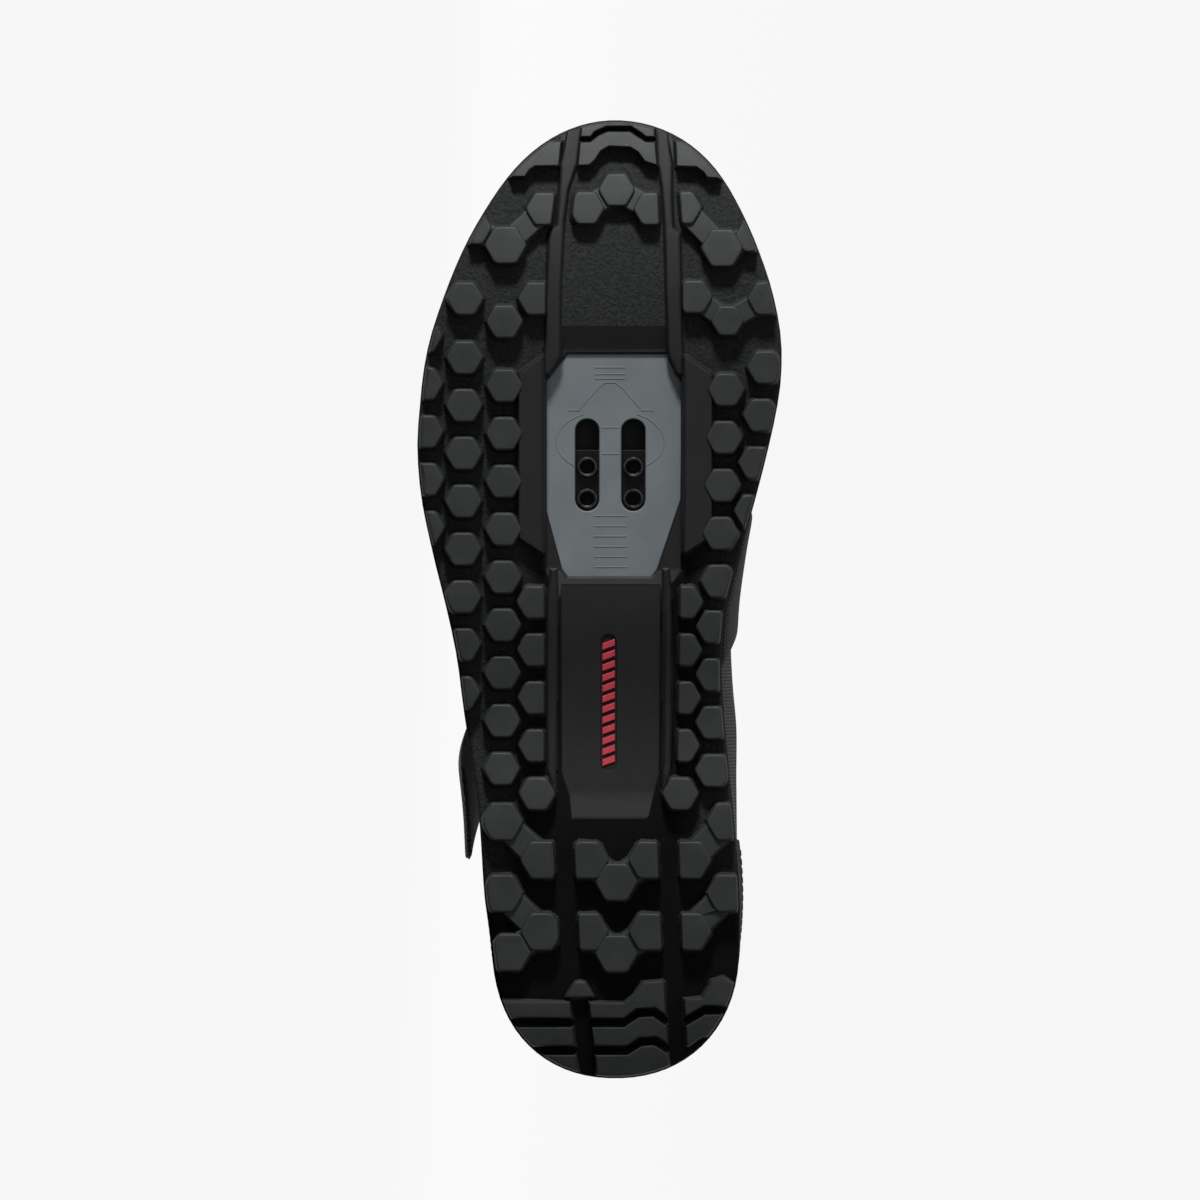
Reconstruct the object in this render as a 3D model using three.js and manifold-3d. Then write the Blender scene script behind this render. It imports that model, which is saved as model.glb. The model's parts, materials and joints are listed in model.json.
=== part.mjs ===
// A trail cycling shoe for the right foot, in millimetres, lying on its inner side.
//
// The shoe is modelled standing: x runs from the heel to the toe, y points to the inner (medial)
// side, z points up, and the lug tips under the heel and the ball are at z = 0. At the end the
// whole shoe is laid on its inner side, sole towards -Y and toe towards +X, as it rests on a floor.
import * as THREE from "three";
import { ConvexHull } from "three/addons/math/ConvexHull.js";
import { mergeVertices } from "three/addons/utils/BufferGeometryUtils.js";
import Module from "manifold-3d";

const wasm = await Module();
wasm.setup();

// Driving sizes of the sole
const shoeLength = 291;
const ballWidth = 110;
const toeSpring = 16;
const heelBevel = 5;
const archRise = 3;
const lugHeight = 5;
const treadBase = 3;
const rimWall = 2.4;
const rimRise = 1;
const toeRimRise = 7;
const heelRimRise = 4;
const lipHeight = 4;
const toeRounding = 85;
const heelRounding = 40;

// Driving sizes of the upper
const instepHeight = 120;
const weltWidth = 3;
const upperWall = 2.2;
const collarPadding = 4.2;
const heelCurve = 5;
const throatFront = 201;
const throatBack = 104;
const throatFrontWidth = 22;
const throatBackWidth = 46;
const eyestayWidth = 13;
const overlayThickness = 1.2;
const tongueThickness = 5;
const insoleThickness = 4;

// Driving sizes of the tread
const hexAcross = 9.8;
const bigHexAcross = 11.2;
const smallHexAcross = 8.8;
const lugDraft = 0.7;
const webDrop = 1.1;
const railHeight = 2.2;
const barDrop = 0.6;
const archRecess = 1.3;
const pocketDepth = 1.5;
const heelGrooveWidth = 3;
const heelChannelWidth = 6;

// Driving sizes of the cleat fitting
const plateThickness = 3;
const plateFlange = 2.5;
const plateMiddle = -1.5;
const slotSpacing = 14;
const slotLength = 28;
const slotWidth = 7.3;
const slotMiddle = 0.6392 * shoeLength;
const nutRear = slotMiddle - 10.2;
const nutRowSpacing = 9.6;
const nutPlateThickness = 2;
const nutPlateMargin = 4.2;
const barrelRadius = 3.1;
const threadRadius = 2.1;
const barrelRecess = 0.8;
const nutTravel = 11;
const nutBackTravel = 0.4;

// Driving sizes of the closure
const laceWidth = 4.4;
const laceThickness = 1.4;
const laceDip = 3.2;
const eyeletRadius = 2.7;
const eyeletInset = 7.5;
const laceRows = 5;
const firstLace = 189;
const laceStep = 15.5;
const strapWidth = 27;
const strapThickness = 2;
const strapLift = 5.2;
const strapTipLift = 4.8;

// The gap that touching pieces keep
const clearance = 0.3;

const soleBase = lugHeight + treadBase;
const laceGrow = overlayThickness + 4 * clearance;

// Half widths of the sole as shares of the ball width, before its two ends are rounded
const OUTLINE = [
  { at: 0.0, lateral: 0.343, medial: 0.345 },
  { at: 0.13, lateral: 0.34, medial: 0.342 },
  { at: 0.19, lateral: 0.36, medial: 0.343 },
  { at: 0.28, lateral: 0.377, medial: 0.325 },
  { at: 0.385, lateral: 0.418, medial: 0.299 },
  { at: 0.44, lateral: 0.437, medial: 0.293 },
  { at: 0.49, lateral: 0.465, medial: 0.305 },
  { at: 0.545, lateral: 0.501, medial: 0.343 },
  { at: 0.605, lateral: 0.534, medial: 0.387 },
  { at: 0.66, lateral: 0.545, medial: 0.424 },
  { at: 0.71, lateral: 0.536, medial: 0.451 },
  { at: 0.765, lateral: 0.524, medial: 0.467 },
  { at: 0.815, lateral: 0.507, medial: 0.469 },
  { at: 0.87, lateral: 0.494, medial: 0.467 },
  { at: 0.92, lateral: 0.486, medial: 0.475 },
  { at: 1.0, lateral: 0.5, medial: 0.52 },
];

// Top of the sole under the foot, above the ground line, as shares of the lug and base height
const STACK = [
  { at: 0.0, feather: 3.4 },
  { at: 0.2, feather: 3.35 },
  { at: 0.4, feather: 3.05 },
  { at: 0.55, feather: 2.75 },
  { at: 0.7, feather: 2.6 },
  { at: 0.85, feather: 2.4 },
  { at: 1.0, feather: 2.2 },
];

// Sections of the upper. ridge is the height of its top line as a share of the instep height.
// gap, shoulder and the bulges are shares of the ball width, drop and rise of the section height.
const SECTIONS = [
  { at: 0.0, ridge: 1.07, gap: 0.235, shoulder: 0.03, drop: 0.3, bulgeL: 0.04, bulgeM: 0.04, rise: 0.34 },
  { at: 0.15, ridge: 1.07, gap: 0.24, shoulder: 0.03, drop: 0.3, bulgeL: 0.05, bulgeM: 0.06, rise: 0.34 },
  { at: 0.3, ridge: 1.12, gap: 0.16, shoulder: 0.11, drop: 0.22, bulgeL: 0.03, bulgeM: 0.12, rise: 0.35 },
  { at: 0.36, ridge: 1.1, gap: 0.08, shoulder: 0.2, drop: 0.12, bulgeL: 0.02, bulgeM: 0.15, rise: 0.37 },
  { at: 0.4, ridge: 1.03, gap: 0.06, shoulder: 0.21, drop: 0.09, bulgeL: 0.02, bulgeM: 0.15, rise: 0.38 },
  { at: 0.44, ridge: 0.965, gap: 0.03, shoulder: 0.22, drop: 0.07, bulgeL: 0.02, bulgeM: 0.15, rise: 0.4 },
  { at: 0.5, ridge: 0.86, gap: 0.015, shoulder: 0.22, drop: 0.04, bulgeL: 0.02, bulgeM: 0.13, rise: 0.43 },
  { at: 0.56, ridge: 0.765, gap: 0.01, shoulder: 0.21, drop: 0.01, bulgeL: 0.02, bulgeM: 0.09, rise: 0.46 },
  { at: 0.63, ridge: 0.68, gap: 0.01, shoulder: 0.23, drop: 0, bulgeL: 0.02, bulgeM: 0.05, rise: 0.5 },
  { at: 0.7, ridge: 0.605, gap: 0.01, shoulder: 0.25, drop: 0, bulgeL: 0.015, bulgeM: 0.02, rise: 0.53 },
  { at: 0.78, ridge: 0.54, gap: 0.01, shoulder: 0.27, drop: 0, bulgeL: 0.01, bulgeM: 0.01, rise: 0.56 },
  { at: 0.86, ridge: 0.5, gap: 0.01, shoulder: 0.27, drop: 0, bulgeL: 0.01, bulgeM: 0.01, rise: 0.6 },
  { at: 0.93, ridge: 0.47, gap: 0.01, shoulder: 0.26, drop: 0, bulgeL: 0.01, bulgeM: 0.01, rise: 0.64 },
  { at: 1.0, ridge: 0.43, gap: 0.01, shoulder: 0.24, drop: 0, bulgeL: 0.01, bulgeM: 0.01, rise: 0.68 },
];

// Back of the heel in side view: how far it leans forward, as a share of the heel curve
const HEEL_PROFILE = [
  { at: 0.0, lean: 0.0 },
  { at: 0.22, lean: -0.3 },
  { at: 0.5, lean: 0.4 },
  { at: 0.78, lean: 0.9 },
  { at: 1.0, lean: 0.5 },
];

// Top edge of the collar in side view, as shares of the shoe length and of the instep height
const TOPLINE = [
  { along: -0.06, up: 0.87 },
  { along: 0.02, up: 0.875 },
  { along: 0.075, up: 0.81 },
  { along: 0.14, up: 0.71 },
  { along: 0.22, up: 0.68 },
  { along: 0.3, up: 0.73 },
  { along: 0.37, up: 0.83 },
  { along: 0.42, up: 0.93 },
  { along: 0.5, up: 1.08 },
];

// Straight rows of hexagonal lugs: the rear lug's place and the spread towards the toe
const LUG_ROWS = [
  { from: 0.574, count: 5, across: -0.52, drift: -0.0015 },
  { from: 0.402, count: 8, across: -0.422, drift: 0.001 },
  { from: 0.812, count: 1, across: -0.413, drift: 0 },
  { from: 0.323, count: 9, across: -0.313, drift: 0.001 },
  { from: 0.788, count: 1, across: -0.305, drift: 0 },
  { from: 0.297, count: 5, across: -0.215, drift: -0.0015 },
  { from: 0.812, count: 1, across: -0.217, drift: 0 },
  { from: 0.297, count: 5, across: 0.179, drift: 0.003 },
  { from: 0.321, count: 4, across: 0.27, drift: 0.001 },
  { from: 0.518, count: 5, across: 0.285, drift: 0.005 },
  { from: 0.591, count: 4, across: 0.377, drift: 0.012 },
];
const lugPitchShare = 0.0498;

// Zigzag rows, each hexagon joined to the next by a lower web: along, across and size
const TOE_ZIGZAG = [
  { along: 0.886, across: -0.39, flats: hexAcross },
  { along: 0.868, across: -0.302, flats: bigHexAcross },
  { along: 0.906, across: -0.196, flats: hexAcross },
  { along: 0.907, across: -0.08, flats: hexAcross },
  { along: 0.926, across: 0.004, flats: hexAcross },
  { along: 0.906, across: 0.1, flats: hexAcross },
  { along: 0.907, across: 0.188, flats: hexAcross },
  { along: 0.865, across: 0.294, flats: bigHexAcross },
  { along: 0.878, across: 0.38, flats: hexAcross },
];
const INNER_ZIGZAG = [
  { along: 0.814, across: 0.217, flats: hexAcross },
  { along: 0.789, across: 0.308, flats: smallHexAcross },
  { along: 0.812, across: 0.414, flats: hexAcross },
];
const HEEL_ZIGZAG = [
  { along: 0.074, across: -0.311, flats: bigHexAcross },
  { along: 0.034, across: -0.203, flats: bigHexAcross },
  { along: 0.034, across: -0.076, flats: bigHexAcross },
  { along: 0.011, across: 0.003, flats: bigHexAcross },
  { along: 0.034, across: 0.094, flats: bigHexAcross },
  { along: 0.034, across: 0.207, flats: bigHexAcross },
  { along: 0.074, across: 0.309, flats: bigHexAcross },
];
const HEEL_ZIGZAG_STARTS = [0.194, 0.1195];
const HEEL_CORNER_LUG = { along: 0.132, across: -0.29, flats: bigHexAcross };

// Blocks and channels of the tread: outlines as [share of length, share of ball width]
const TOE_PAD = [
  [0.94, -0.33], [0.94, -0.249], [0.947, -0.237], [0.951, -0.221], [0.952, -0.072], [0.958, -0.055],
  [0.967, -0.04], [0.972, -0.017], [0.971, 0.041], [0.966, 0.063], [0.956, 0.082], [0.952, 0.115],
  [0.95, 0.224], [0.945, 0.243], [0.939, 0.254], [0.933, 0.33], [1.04, 0.33], [1.04, -0.33],
];
const TOE_PAD_GROOVE = [
  [0.979, -0.2], [0.979, -0.068], [0.985, -0.052], [0.99, -0.022], [0.99, 0.042], [0.984, 0.066],
  [0.979, 0.085], [0.979, 0.22],
];
const HEEL_PAD = [
  [0.082, -0.42], [0.08, -0.068], [0.079, 0.024], [0.089, 0.055], [0.101, 0.077], [0.102, 0.13],
  [0.083, 0.18], [0.084, 0.24], [0.102, 0.266], [0.107, 0.297], [0.098, 0.33], [0.098, 0.42],
  [-0.04, 0.42], [-0.04, -0.42],
];
const HEEL_PAD_GROOVES = [
  [[0.059, -0.42], [0.059, 0.024], [0.069, 0.062], [0.07, 0.107], [0.061, 0.14], [0.061, 0.196],
    [0.072, 0.246], [0.074, 0.42]],
  [[0.03, -0.42], [0.03, 0.033], [0.039, 0.069], [0.04, 0.11], [0.032, 0.144], [0.03, 0.205],
    [0.04, 0.237], [0.043, 0.42]],
];
const HEEL_CHANNELS = [
  [[0.104, -0.106], [-0.03, -0.066]],
  [[0.104, 0.16], [-0.03, 0.181]],
];
const ZIGZAG_CHANNELS = [
  [[0.29, -0.173], [0.228, -0.169], [0.153, -0.157], [0.11, -0.15], [0.11, -0.094], [0.153, -0.1],
    [0.228, -0.111], [0.29, -0.116]],
  [[0.29, 0.114], [0.228, 0.118], [0.153, 0.126], [0.107, 0.13], [0.107, 0.186], [0.153, 0.183],
    [0.228, 0.176], [0.29, 0.172]],
  [[1.03, -0.136], [0.952, -0.156], [0.88, -0.18], [0.88, -0.126], [0.952, -0.102], [1.03, -0.082]],
  [[1.03, 0.162], [0.952, 0.17], [0.88, 0.186], [0.88, 0.122], [0.952, 0.115], [1.03, 0.096]],
];
const MIDDLE_CHANNEL = [
  [0.309, -0.19], [0.33, -0.196], [0.53, -0.196], [0.76, -0.194], [0.884, -0.19], [0.884, 0.182],
  [0.76, 0.188], [0.53, 0.18], [0.33, 0.171], [0.309, 0.16],
];
const RAILS = [
  [[0.995, -0.139], [0.952, -0.151], [0.926, -0.154], [0.889, -0.162], [0.882, -0.184], [0.81, -0.19],
    [0.765, -0.192], [0.765, -0.151], [0.81, -0.151], [0.882, -0.143], [0.889, -0.141],
    [0.926, -0.13], [0.952, -0.106], [0.995, -0.091]],
  [[0.993, 0.152], [0.952, 0.158], [0.928, 0.156], [0.886, 0.16], [0.881, 0.179], [0.824, 0.182],
    [0.765, 0.184], [0.765, 0.144], [0.824, 0.14], [0.881, 0.136], [0.886, 0.136], [0.928, 0.129],
    [0.952, 0.118], [0.993, 0.112]],
];
const SIDE_BARS = [
  [[0.734, -0.266], [0.754, -0.197], [0.546, -0.197], [0.563, -0.266]],
  [[0.734, 0.266], [0.753, 0.189], [0.546, 0.189], [0.565, 0.266]],
];
const HEEL_STOP = [[0.085, -0.138], [0.102, -0.109], [0.102, -0.084], [0.085, -0.058]];
const ARCH_FLOOR = [
  [0.273, -0.119], [0.296, -0.125], [0.32, -0.146], [0.524, -0.148], [0.524, 0.124], [0.32, 0.12],
  [0.296, 0.105], [0.273, 0.091],
];
const ARCH_MARK = [[0.467, -0.047], [0.467, 0.01], [0.317, 0.01], [0.317, -0.047]];
const WINDOW = [
  [0.754, -0.13], [0.725, -0.194], [0.604, -0.196], [0.531, -0.144], [0.524, -0.13], [0.524, 0.097],
  [0.531, 0.113], [0.604, 0.178], [0.721, 0.182], [0.754, 0.143],
];
const POCKET = [
  [0.784, -0.144], [0.76, -0.194], [0.53, -0.194], [0.5, -0.148], [0.5, 0.124], [0.53, 0.18],
  [0.76, 0.184], [0.784, 0.136],
];

// Small tools
const clamp = (value, low, high) => Math.min(Math.max(value, low), high);
const smooth = (low, high, value) => THREE.MathUtils.smoothstep(value, low, high);
const point = (x, y, z) => new THREE.Vector3(x, y, z);

// A smooth curve through one column of a table whose rows have a place named at
function column(table, name) {
  const slopes = table.map((row, i) => {
    const before = table[Math.max(i - 1, 0)];
    const after = table[Math.min(i + 1, table.length - 1)];
    return (after[name] - before[name]) / (after.at - before.at);
  });
  return (at) => {
    const above = table.findIndex((row) => row.at > at);
    const i = above < 0 ? table.length - 2 : Math.max(above - 1, 0);
    const [a, b] = [table[i], table[i + 1]];
    const step = b.at - a.at;
    const t = clamp((at - a.at) / step, 0, 1);
    const rest = 1 - t;
    return (
      a[name] * rest * rest * (1 + 2 * t) + b[name] * t * t * (1 + 2 * rest) +
      step * t * rest * (slopes[i] * rest - slopes[i + 1] * t)
    );
  };
}

// A closed surface through rings of equally many points. Both ends are filled: across opposite
// points of the ring, or as a free outline in plan.
function skin(rings, { freeEnds = false } = {}) {
  const count = rings[0].length;
  const positions = rings.flat().flatMap((p) => [p.x, p.y, p.z]);
  const faces = [];
  for (let i = 0; i + 1 < rings.length; i++) {
    for (let j = 0; j < count; j++) {
      const a = i * count + j;
      const b = i * count + ((j + 1) % count);
      faces.push(a, b, b + count, a, b + count, a + count);
    }
  }
  const last = (rings.length - 1) * count;
  if (freeEnds) {
    const flat = rings[0].map((p) => new THREE.Vector2(p.x, p.y));
    const sameWay = !THREE.ShapeUtils.isClockWise(flat);
    for (const face of THREE.ShapeUtils.triangulateShape(flat, [])) {
      const corners = sameWay ? face : [...face].reverse();
      faces.push(...corners.map((k) => last + k), ...corners.reverse());
    }
    return toSolid(positions, faces);
  }
  for (let j = 0; j + 1 < count / 2; j++) {
    const opposite = count - 1 - j;
    faces.push(j, opposite, j + 1, j + 1, opposite, opposite - 1);
    faces.push(last + j, last + j + 1, last + opposite);
    faces.push(last + j + 1, last + opposite - 1, last + opposite);
  }
  return toSolid(positions, faces);
}

function toSolid(positions, faces) {
  const geometry = new THREE.BufferGeometry();
  geometry.setAttribute("position", new THREE.Float32BufferAttribute(positions, 3));
  geometry.setIndex(faces);
  return solidOf(geometry);
}

// A manifold solid from a geometry, whichever way its faces were wound
function solidOf(geometry) {
  const bare = geometry.clone();
  bare.deleteAttribute("normal");
  bare.deleteAttribute("uv");
  const merged = mergeVertices(bare, 1e-5);
  const vertProperties = new Float32Array(merged.attributes.position.array);
  const triVerts = new Uint32Array(merged.index.array);
  if (signedVolume(vertProperties, triVerts) < 0) {
    for (let i = 0; i < triVerts.length; i += 3) {
      [triVerts[i], triVerts[i + 1]] = [triVerts[i + 1], triVerts[i]];
    }
  }
  return new wasm.Manifold(new wasm.Mesh({ numProp: 3, vertProperties, triVerts }));
}

function signedVolume(vertices, triangles) {
  const corner = (i) => new THREE.Vector3().fromArray(vertices, 3 * triangles[i]);
  let volume = 0;
  for (let i = 0; i < triangles.length; i += 3) {
    volume += corner(i).dot(corner(i + 1).cross(corner(i + 2))) / 6;
  }
  return volume;
}

function geometryOf(solid) {
  const mesh = solid.getMesh();
  const geometry = new THREE.BufferGeometry();
  geometry.setAttribute("position", new THREE.Float32BufferAttribute(mesh.vertProperties, 3));
  geometry.setIndex(new THREE.Uint32BufferAttribute(mesh.triVerts, 1));
  return geometry;
}

const joined = (solids) => solids.reduce((all, solid) => all.add(solid));

// An outline moved outwards by a distance, with mitred corners
function widened(outline, distance) {
  const area = THREE.ShapeUtils.area(outline);
  const outwards = Math.sign(area);
  return outline.map((p, i) => {
    const before = outline[(i + outline.length - 1) % outline.length];
    const after = outline[(i + 1) % outline.length];
    const a = p.clone().sub(before).normalize();
    const b = after.clone().sub(p).normalize();
    const normal = new THREE.Vector2(a.y + b.y, -a.x - b.x).normalize().multiplyScalar(outwards);
    const stretch = 1 / Math.max(0.5, Math.abs(normal.x * a.y - normal.y * a.x));
    return p.clone().addScaledVector(normal, distance * stretch);
  });
}

// An upright block over a plan outline, whose two ends follow height functions of x and y
function block(outline, low, high, draft = 0) {
  const foot = outline.map((p) => point(p.x, p.y, low(p.x, p.y)));
  const head = widened(outline, draft).map((p) => point(p.x, p.y, high(p.x, p.y)));
  return skin([foot, head], { freeEnds: true });
}

const level = (height) => () => height;
const plan = (shares) => shares.map(([u, v]) => new THREE.Vector2(u * shoeLength, v * ballWidth));

// A strip of constant width along a line of plan points
function strip(line, width) {
  const side = (direction) =>
    line.map((p, i) => {
      const before = line[Math.max(i - 1, 0)];
      const after = line[Math.min(i + 1, line.length - 1)];
      const along = after.clone().sub(before).normalize();
      return new THREE.Vector2(-along.y, along.x).multiplyScalar((direction * width) / 2).add(p);
    });
  return [...side(1), ...side(-1).reverse()];
}

function hexagon(x, y, flats) {
  return Array.from({ length: 6 }, (_, k) => {
    const angle = (Math.PI / 3) * k + Math.PI / 2;
    const radius = flats / Math.sqrt(3);
    return new THREE.Vector2(x + radius * Math.cos(angle), y + radius * Math.sin(angle));
  });
}

// The sole's heights
const outlineAt = { lateral: column(OUTLINE, "lateral"), medial: column(OUTLINE, "medial") };
const stackAt = column(STACK, "feather");

// Height of the lug tips: toe spring, raised arch and bevelled heel
function ground(x) {
  const share = x / shoeLength;
  const toe = toeSpring * clamp((share - 0.765) / 0.235, 0, 1.1) ** 2;
  const heel = heelBevel * clamp((0.1 - share) / 0.1, 0, 1.1) ** 2;
  const arch = archRise * Math.sin(Math.PI * clamp((share - 0.24) / 0.27, 0, 1)) ** 2;
  return toe + heel + arch;
}
const featherHeight = (x) => ground(x) + stackAt(x / shoeLength) * soleBase;
const lipTop = (x) => featherHeight(x) + lipHeight;
const rimTop = (x) => {
  const share = x / shoeLength;
  const toe = toeRimRise * smooth(0.8, 1, share);
  const heel = heelRimRise * (1 - smooth(0, 0.22, share));
  return ground(x) + soleBase + rimRise + toe + heel;
};

// How much the two ends of the outline narrow it
function endFactor(share) {
  const toe = clamp((share - 1 + toeRounding / shoeLength) / (toeRounding / shoeLength), 0, 1);
  const heel = clamp(1 - share / (heelRounding / shoeLength), 0, 1);
  return Math.sqrt(1 - toe * toe) * (1 - heel ** 2.15) ** (1 / 2.15);
}

// Places along the length, closer together at the two round ends
const places = (count) =>
  Array.from({ length: count }, (_, k) => (1 - Math.cos((Math.PI * (k + 0.5)) / count)) / 2);
const STATIONS = places(21);
const FORM_STATIONS = places(18);

// The sole's outline moved inwards, as a ring whose height follows a function of x
function soleRing(inset, height) {
  const side = (name, sign) =>
    STATIONS.map((share) => {
      const x = inset + share * (shoeLength - 2 * inset);
      const y = (outlineAt[name](share) * ballWidth - inset) * endFactor(share);
      return point(x, sign * y, height(x));
    });
  return [...side("medial", 1), ...side("lateral", -1).reverse()];
}

// A body of the sole: rings from the bottom to the top, each an inset and a height function
const soleBody = (levels) => skin(levels.map(({ inset, height }) => soleRing(inset, height)));

// The tread
const tip = (drop) => (x) => ground(x) + drop;
const root = (x) => ground(x) + lugHeight + treadBase / 2;
const lug = (outline, drop = 0) => block(outline, tip(drop), root, lugDraft);

// A long or wide block of the tread, cut from a band that follows the rocker of the sole
const band = (low, high) => soleBody([{ inset: -15, height: low }, { inset: -15, height: high }]);
const farBelow = level(-instepHeight / 8);
const farAbove = level(instepHeight / 2);
const longLug = (outline, drop = 0) =>
  block(outline, farBelow, farAbove).intersect(band(tip(drop), root));
const hexLug = ({ along, across, flats }) =>
  lug(hexagon(along * shoeLength, across * ballWidth, flats));

function lugRows() {
  return LUG_ROWS.flatMap(({ from, count, across, drift }) =>
    Array.from({ length: count }, (_, i) =>
      hexLug({ along: from + i * lugPitchShare, across: across + i * drift, flats: hexAcross }),
    ),
  );
}

// Hexagons in a row and the lower webs between neighbours
function zigzag(row, start = 0) {
  const placed = row.map((hex) => ({ ...hex, along: hex.along + start }));
  const webs = placed.slice(1).map((hex, i) => {
    const ends = [placed[i], hex].map(
      ({ along, across }) => new THREE.Vector2(along * shoeLength, across * ballWidth),
    );
    return lug(strip(ends, 0.72 * Math.min(hex.flats, placed[i].flats)), webDrop);
  });
  return [...placed.map(hexLug), ...webs];
}

function treadLugs() {
  const second = HEEL_ZIGZAG[1];
  const heelCornerNeighbour = { ...second, along: second.along + HEEL_ZIGZAG_STARTS[1] };
  const channelled = joined([
    ...lugRows(),
    ...zigzag(TOE_ZIGZAG),
    ...zigzag(INNER_ZIGZAG),
    ...HEEL_ZIGZAG_STARTS.flatMap((start) => zigzag(HEEL_ZIGZAG, start)),
    ...zigzag([HEEL_CORNER_LUG, heelCornerNeighbour]),
    longLug(plan(TOE_PAD)),
  ]);
  const channels = joined([MIDDLE_CHANNEL, ...ZIGZAG_CHANNELS].map((c) => block(plan(c), farBelow, farAbove)));
  const heelGrooves = [
    ...HEEL_PAD_GROOVES.map((line) => strip(plan(line), heelGrooveWidth)),
    ...HEEL_CHANNELS.map((line) => strip(plan(line), heelChannelWidth)),
  ];
  const toeGroove = block(strip(plan(TOE_PAD_GROOVE), 0.6 * heelGrooveWidth), farBelow, farAbove);
  const heelPad = heelGrooves.reduce(
    (pad, outline) => pad.subtract(block(outline, farBelow, farAbove)),
    longLug(plan(HEEL_PAD)),
  );
  return joined([
    channelled.subtract(channels).subtract(toeGroove),
    heelPad,
    ...SIDE_BARS.map((bar) => lug(plan(bar), barDrop)),
    ...RAILS.map((rail) => longLug(plan(rail), lugHeight - railHeight)),
    lug(plan(HEEL_STOP), 2 * webDrop),
  ]);
}

// Hollows of the tread's base: the sloping pocket, its window and the channel under the arch
function treadHollows() {
  const base = (x) => ground(x) + lugHeight;
  const slope = (low, high, x) => clamp((x / shoeLength - low) / (high - low), 0, 1);
  const hollow = (outline, roof) =>
    block(plan(outline), level(0), farAbove).intersect(band((x) => ground(x) - 1, roof));
  const archRoof = (x) => base(x) + archRecess * slope(0.273, 0.296, x);
  const pocketRoof = (x) =>
    base(x) + pocketDepth * slope(0.5, 0.524, x) * (1 - slope(0.754, 0.784, x));
  const markRoof = (x) => base(x) + archRecess + 0.6;
  return joined([
    hollow(ARCH_FLOOR, archRoof),
    hollow(POCKET, pocketRoof),
    hollow(ARCH_MARK, markRoof),
    block(plan(WINDOW), level(-1), level(soleBase + 3), 1.2),
  ]);
}

function makeOutsole() {
  const base = soleBody([
    { inset: 0.9, height: (x) => ground(x) + lugHeight },
    { inset: 0, height: (x) => ground(x) + lugHeight + 0.8 },
    { inset: 0, height: rimTop },
  ]);
  const hollow = soleBody([
    { inset: rimWall, height: (x) => ground(x) + soleBase },
    { inset: rimWall, height: (x) => rimTop(x) + 5 },
  ]);
  const edge = soleBody([
    { inset: 1, height: (x) => ground(x) - 5 },
    { inset: 0.4, height: (x) => root(x) + 2 },
  ]);
  const tray = base.subtract(hollow).subtract(treadHollows());
  return tray.add(treadLugs().intersect(edge));
}

// The cleat plate shows through the window and is held by its flange above it
const plateBottom = soleBase + clearance;
const plateTop = plateBottom + plateThickness;
const slotSides = [-1, 1];

function slotOutline(side, grow = 0) {
  const straight = (slotLength - slotWidth) / 2;
  const y = plateMiddle + (side * slotSpacing) / 2;
  const turns = 6;
  return Array.from({ length: 2 * turns + 2 }, (_, k) => {
    const end = k <= turns ? 1 : -1;
    const angle = Math.PI * ((k <= turns ? k : k - 1) / turns) - Math.PI / 2;
    const radius = slotWidth / 2 + grow;
    return new THREE.Vector2(
      slotMiddle + end * straight + radius * Math.cos(angle), y + radius * Math.sin(angle),
    );
  });
}

function makePlate() {
  const outline = widened(plan(WINDOW), plateFlange);
  const plate = block(outline, level(plateBottom), level(plateTop));
  return slotSides.reduce(
    (rest, side) => rest.subtract(block(slotOutline(side), level(0), level(plateTop + 1))), plate,
  );
}

// Steel plate behind the slots, with four threaded barrels that stand in them
function makeNutPlate() {
  const reach = barrelRadius + nutPlateMargin / 2;
  const length = nutRowSpacing + 2 * reach;
  const width = slotSpacing + 2 * reach;
  const middle = nutRear + nutRowSpacing / 2;
  const bottom = plateTop + clearance;
  const body = new THREE.BoxGeometry(length, width, nutPlateThickness);
  body.translate(middle, plateMiddle, bottom + nutPlateThickness / 2);
  const barrelBottom = plateBottom + barrelRecess;
  const rod = (radius, low, high, x, y) => {
    const shape = new THREE.CylinderGeometry(radius, radius, high - low, 10);
    shape.rotateX(Math.PI / 2);
    return solidOf(shape.translate(x, y, (low + high) / 2));
  };
  let plate = solidOf(body);
  const places = [0, 1].flatMap((row) =>
    slotSides.map((side) => [nutRear + row * nutRowSpacing, plateMiddle + (side * slotSpacing) / 2]),
  );
  for (const [x, y] of places) plate = plate.add(rod(barrelRadius, barrelBottom, bottom + 1, x, y));
  for (const [x, y] of places) plate = plate.subtract(rod(threadRadius, 0, bottom + 9, x, y));
  return plate;
}

// The upper's own form. share runs along the shoe and t from the sole edge (0) to the ridge (1).
const sectionAt = Object.fromEntries(
  Object.keys(SECTIONS[0]).filter((name) => name !== "at").map((name) => [name, column(SECTIONS, name)]),
);
const heelLean = column(HEEL_PROFILE, "lean");

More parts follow.
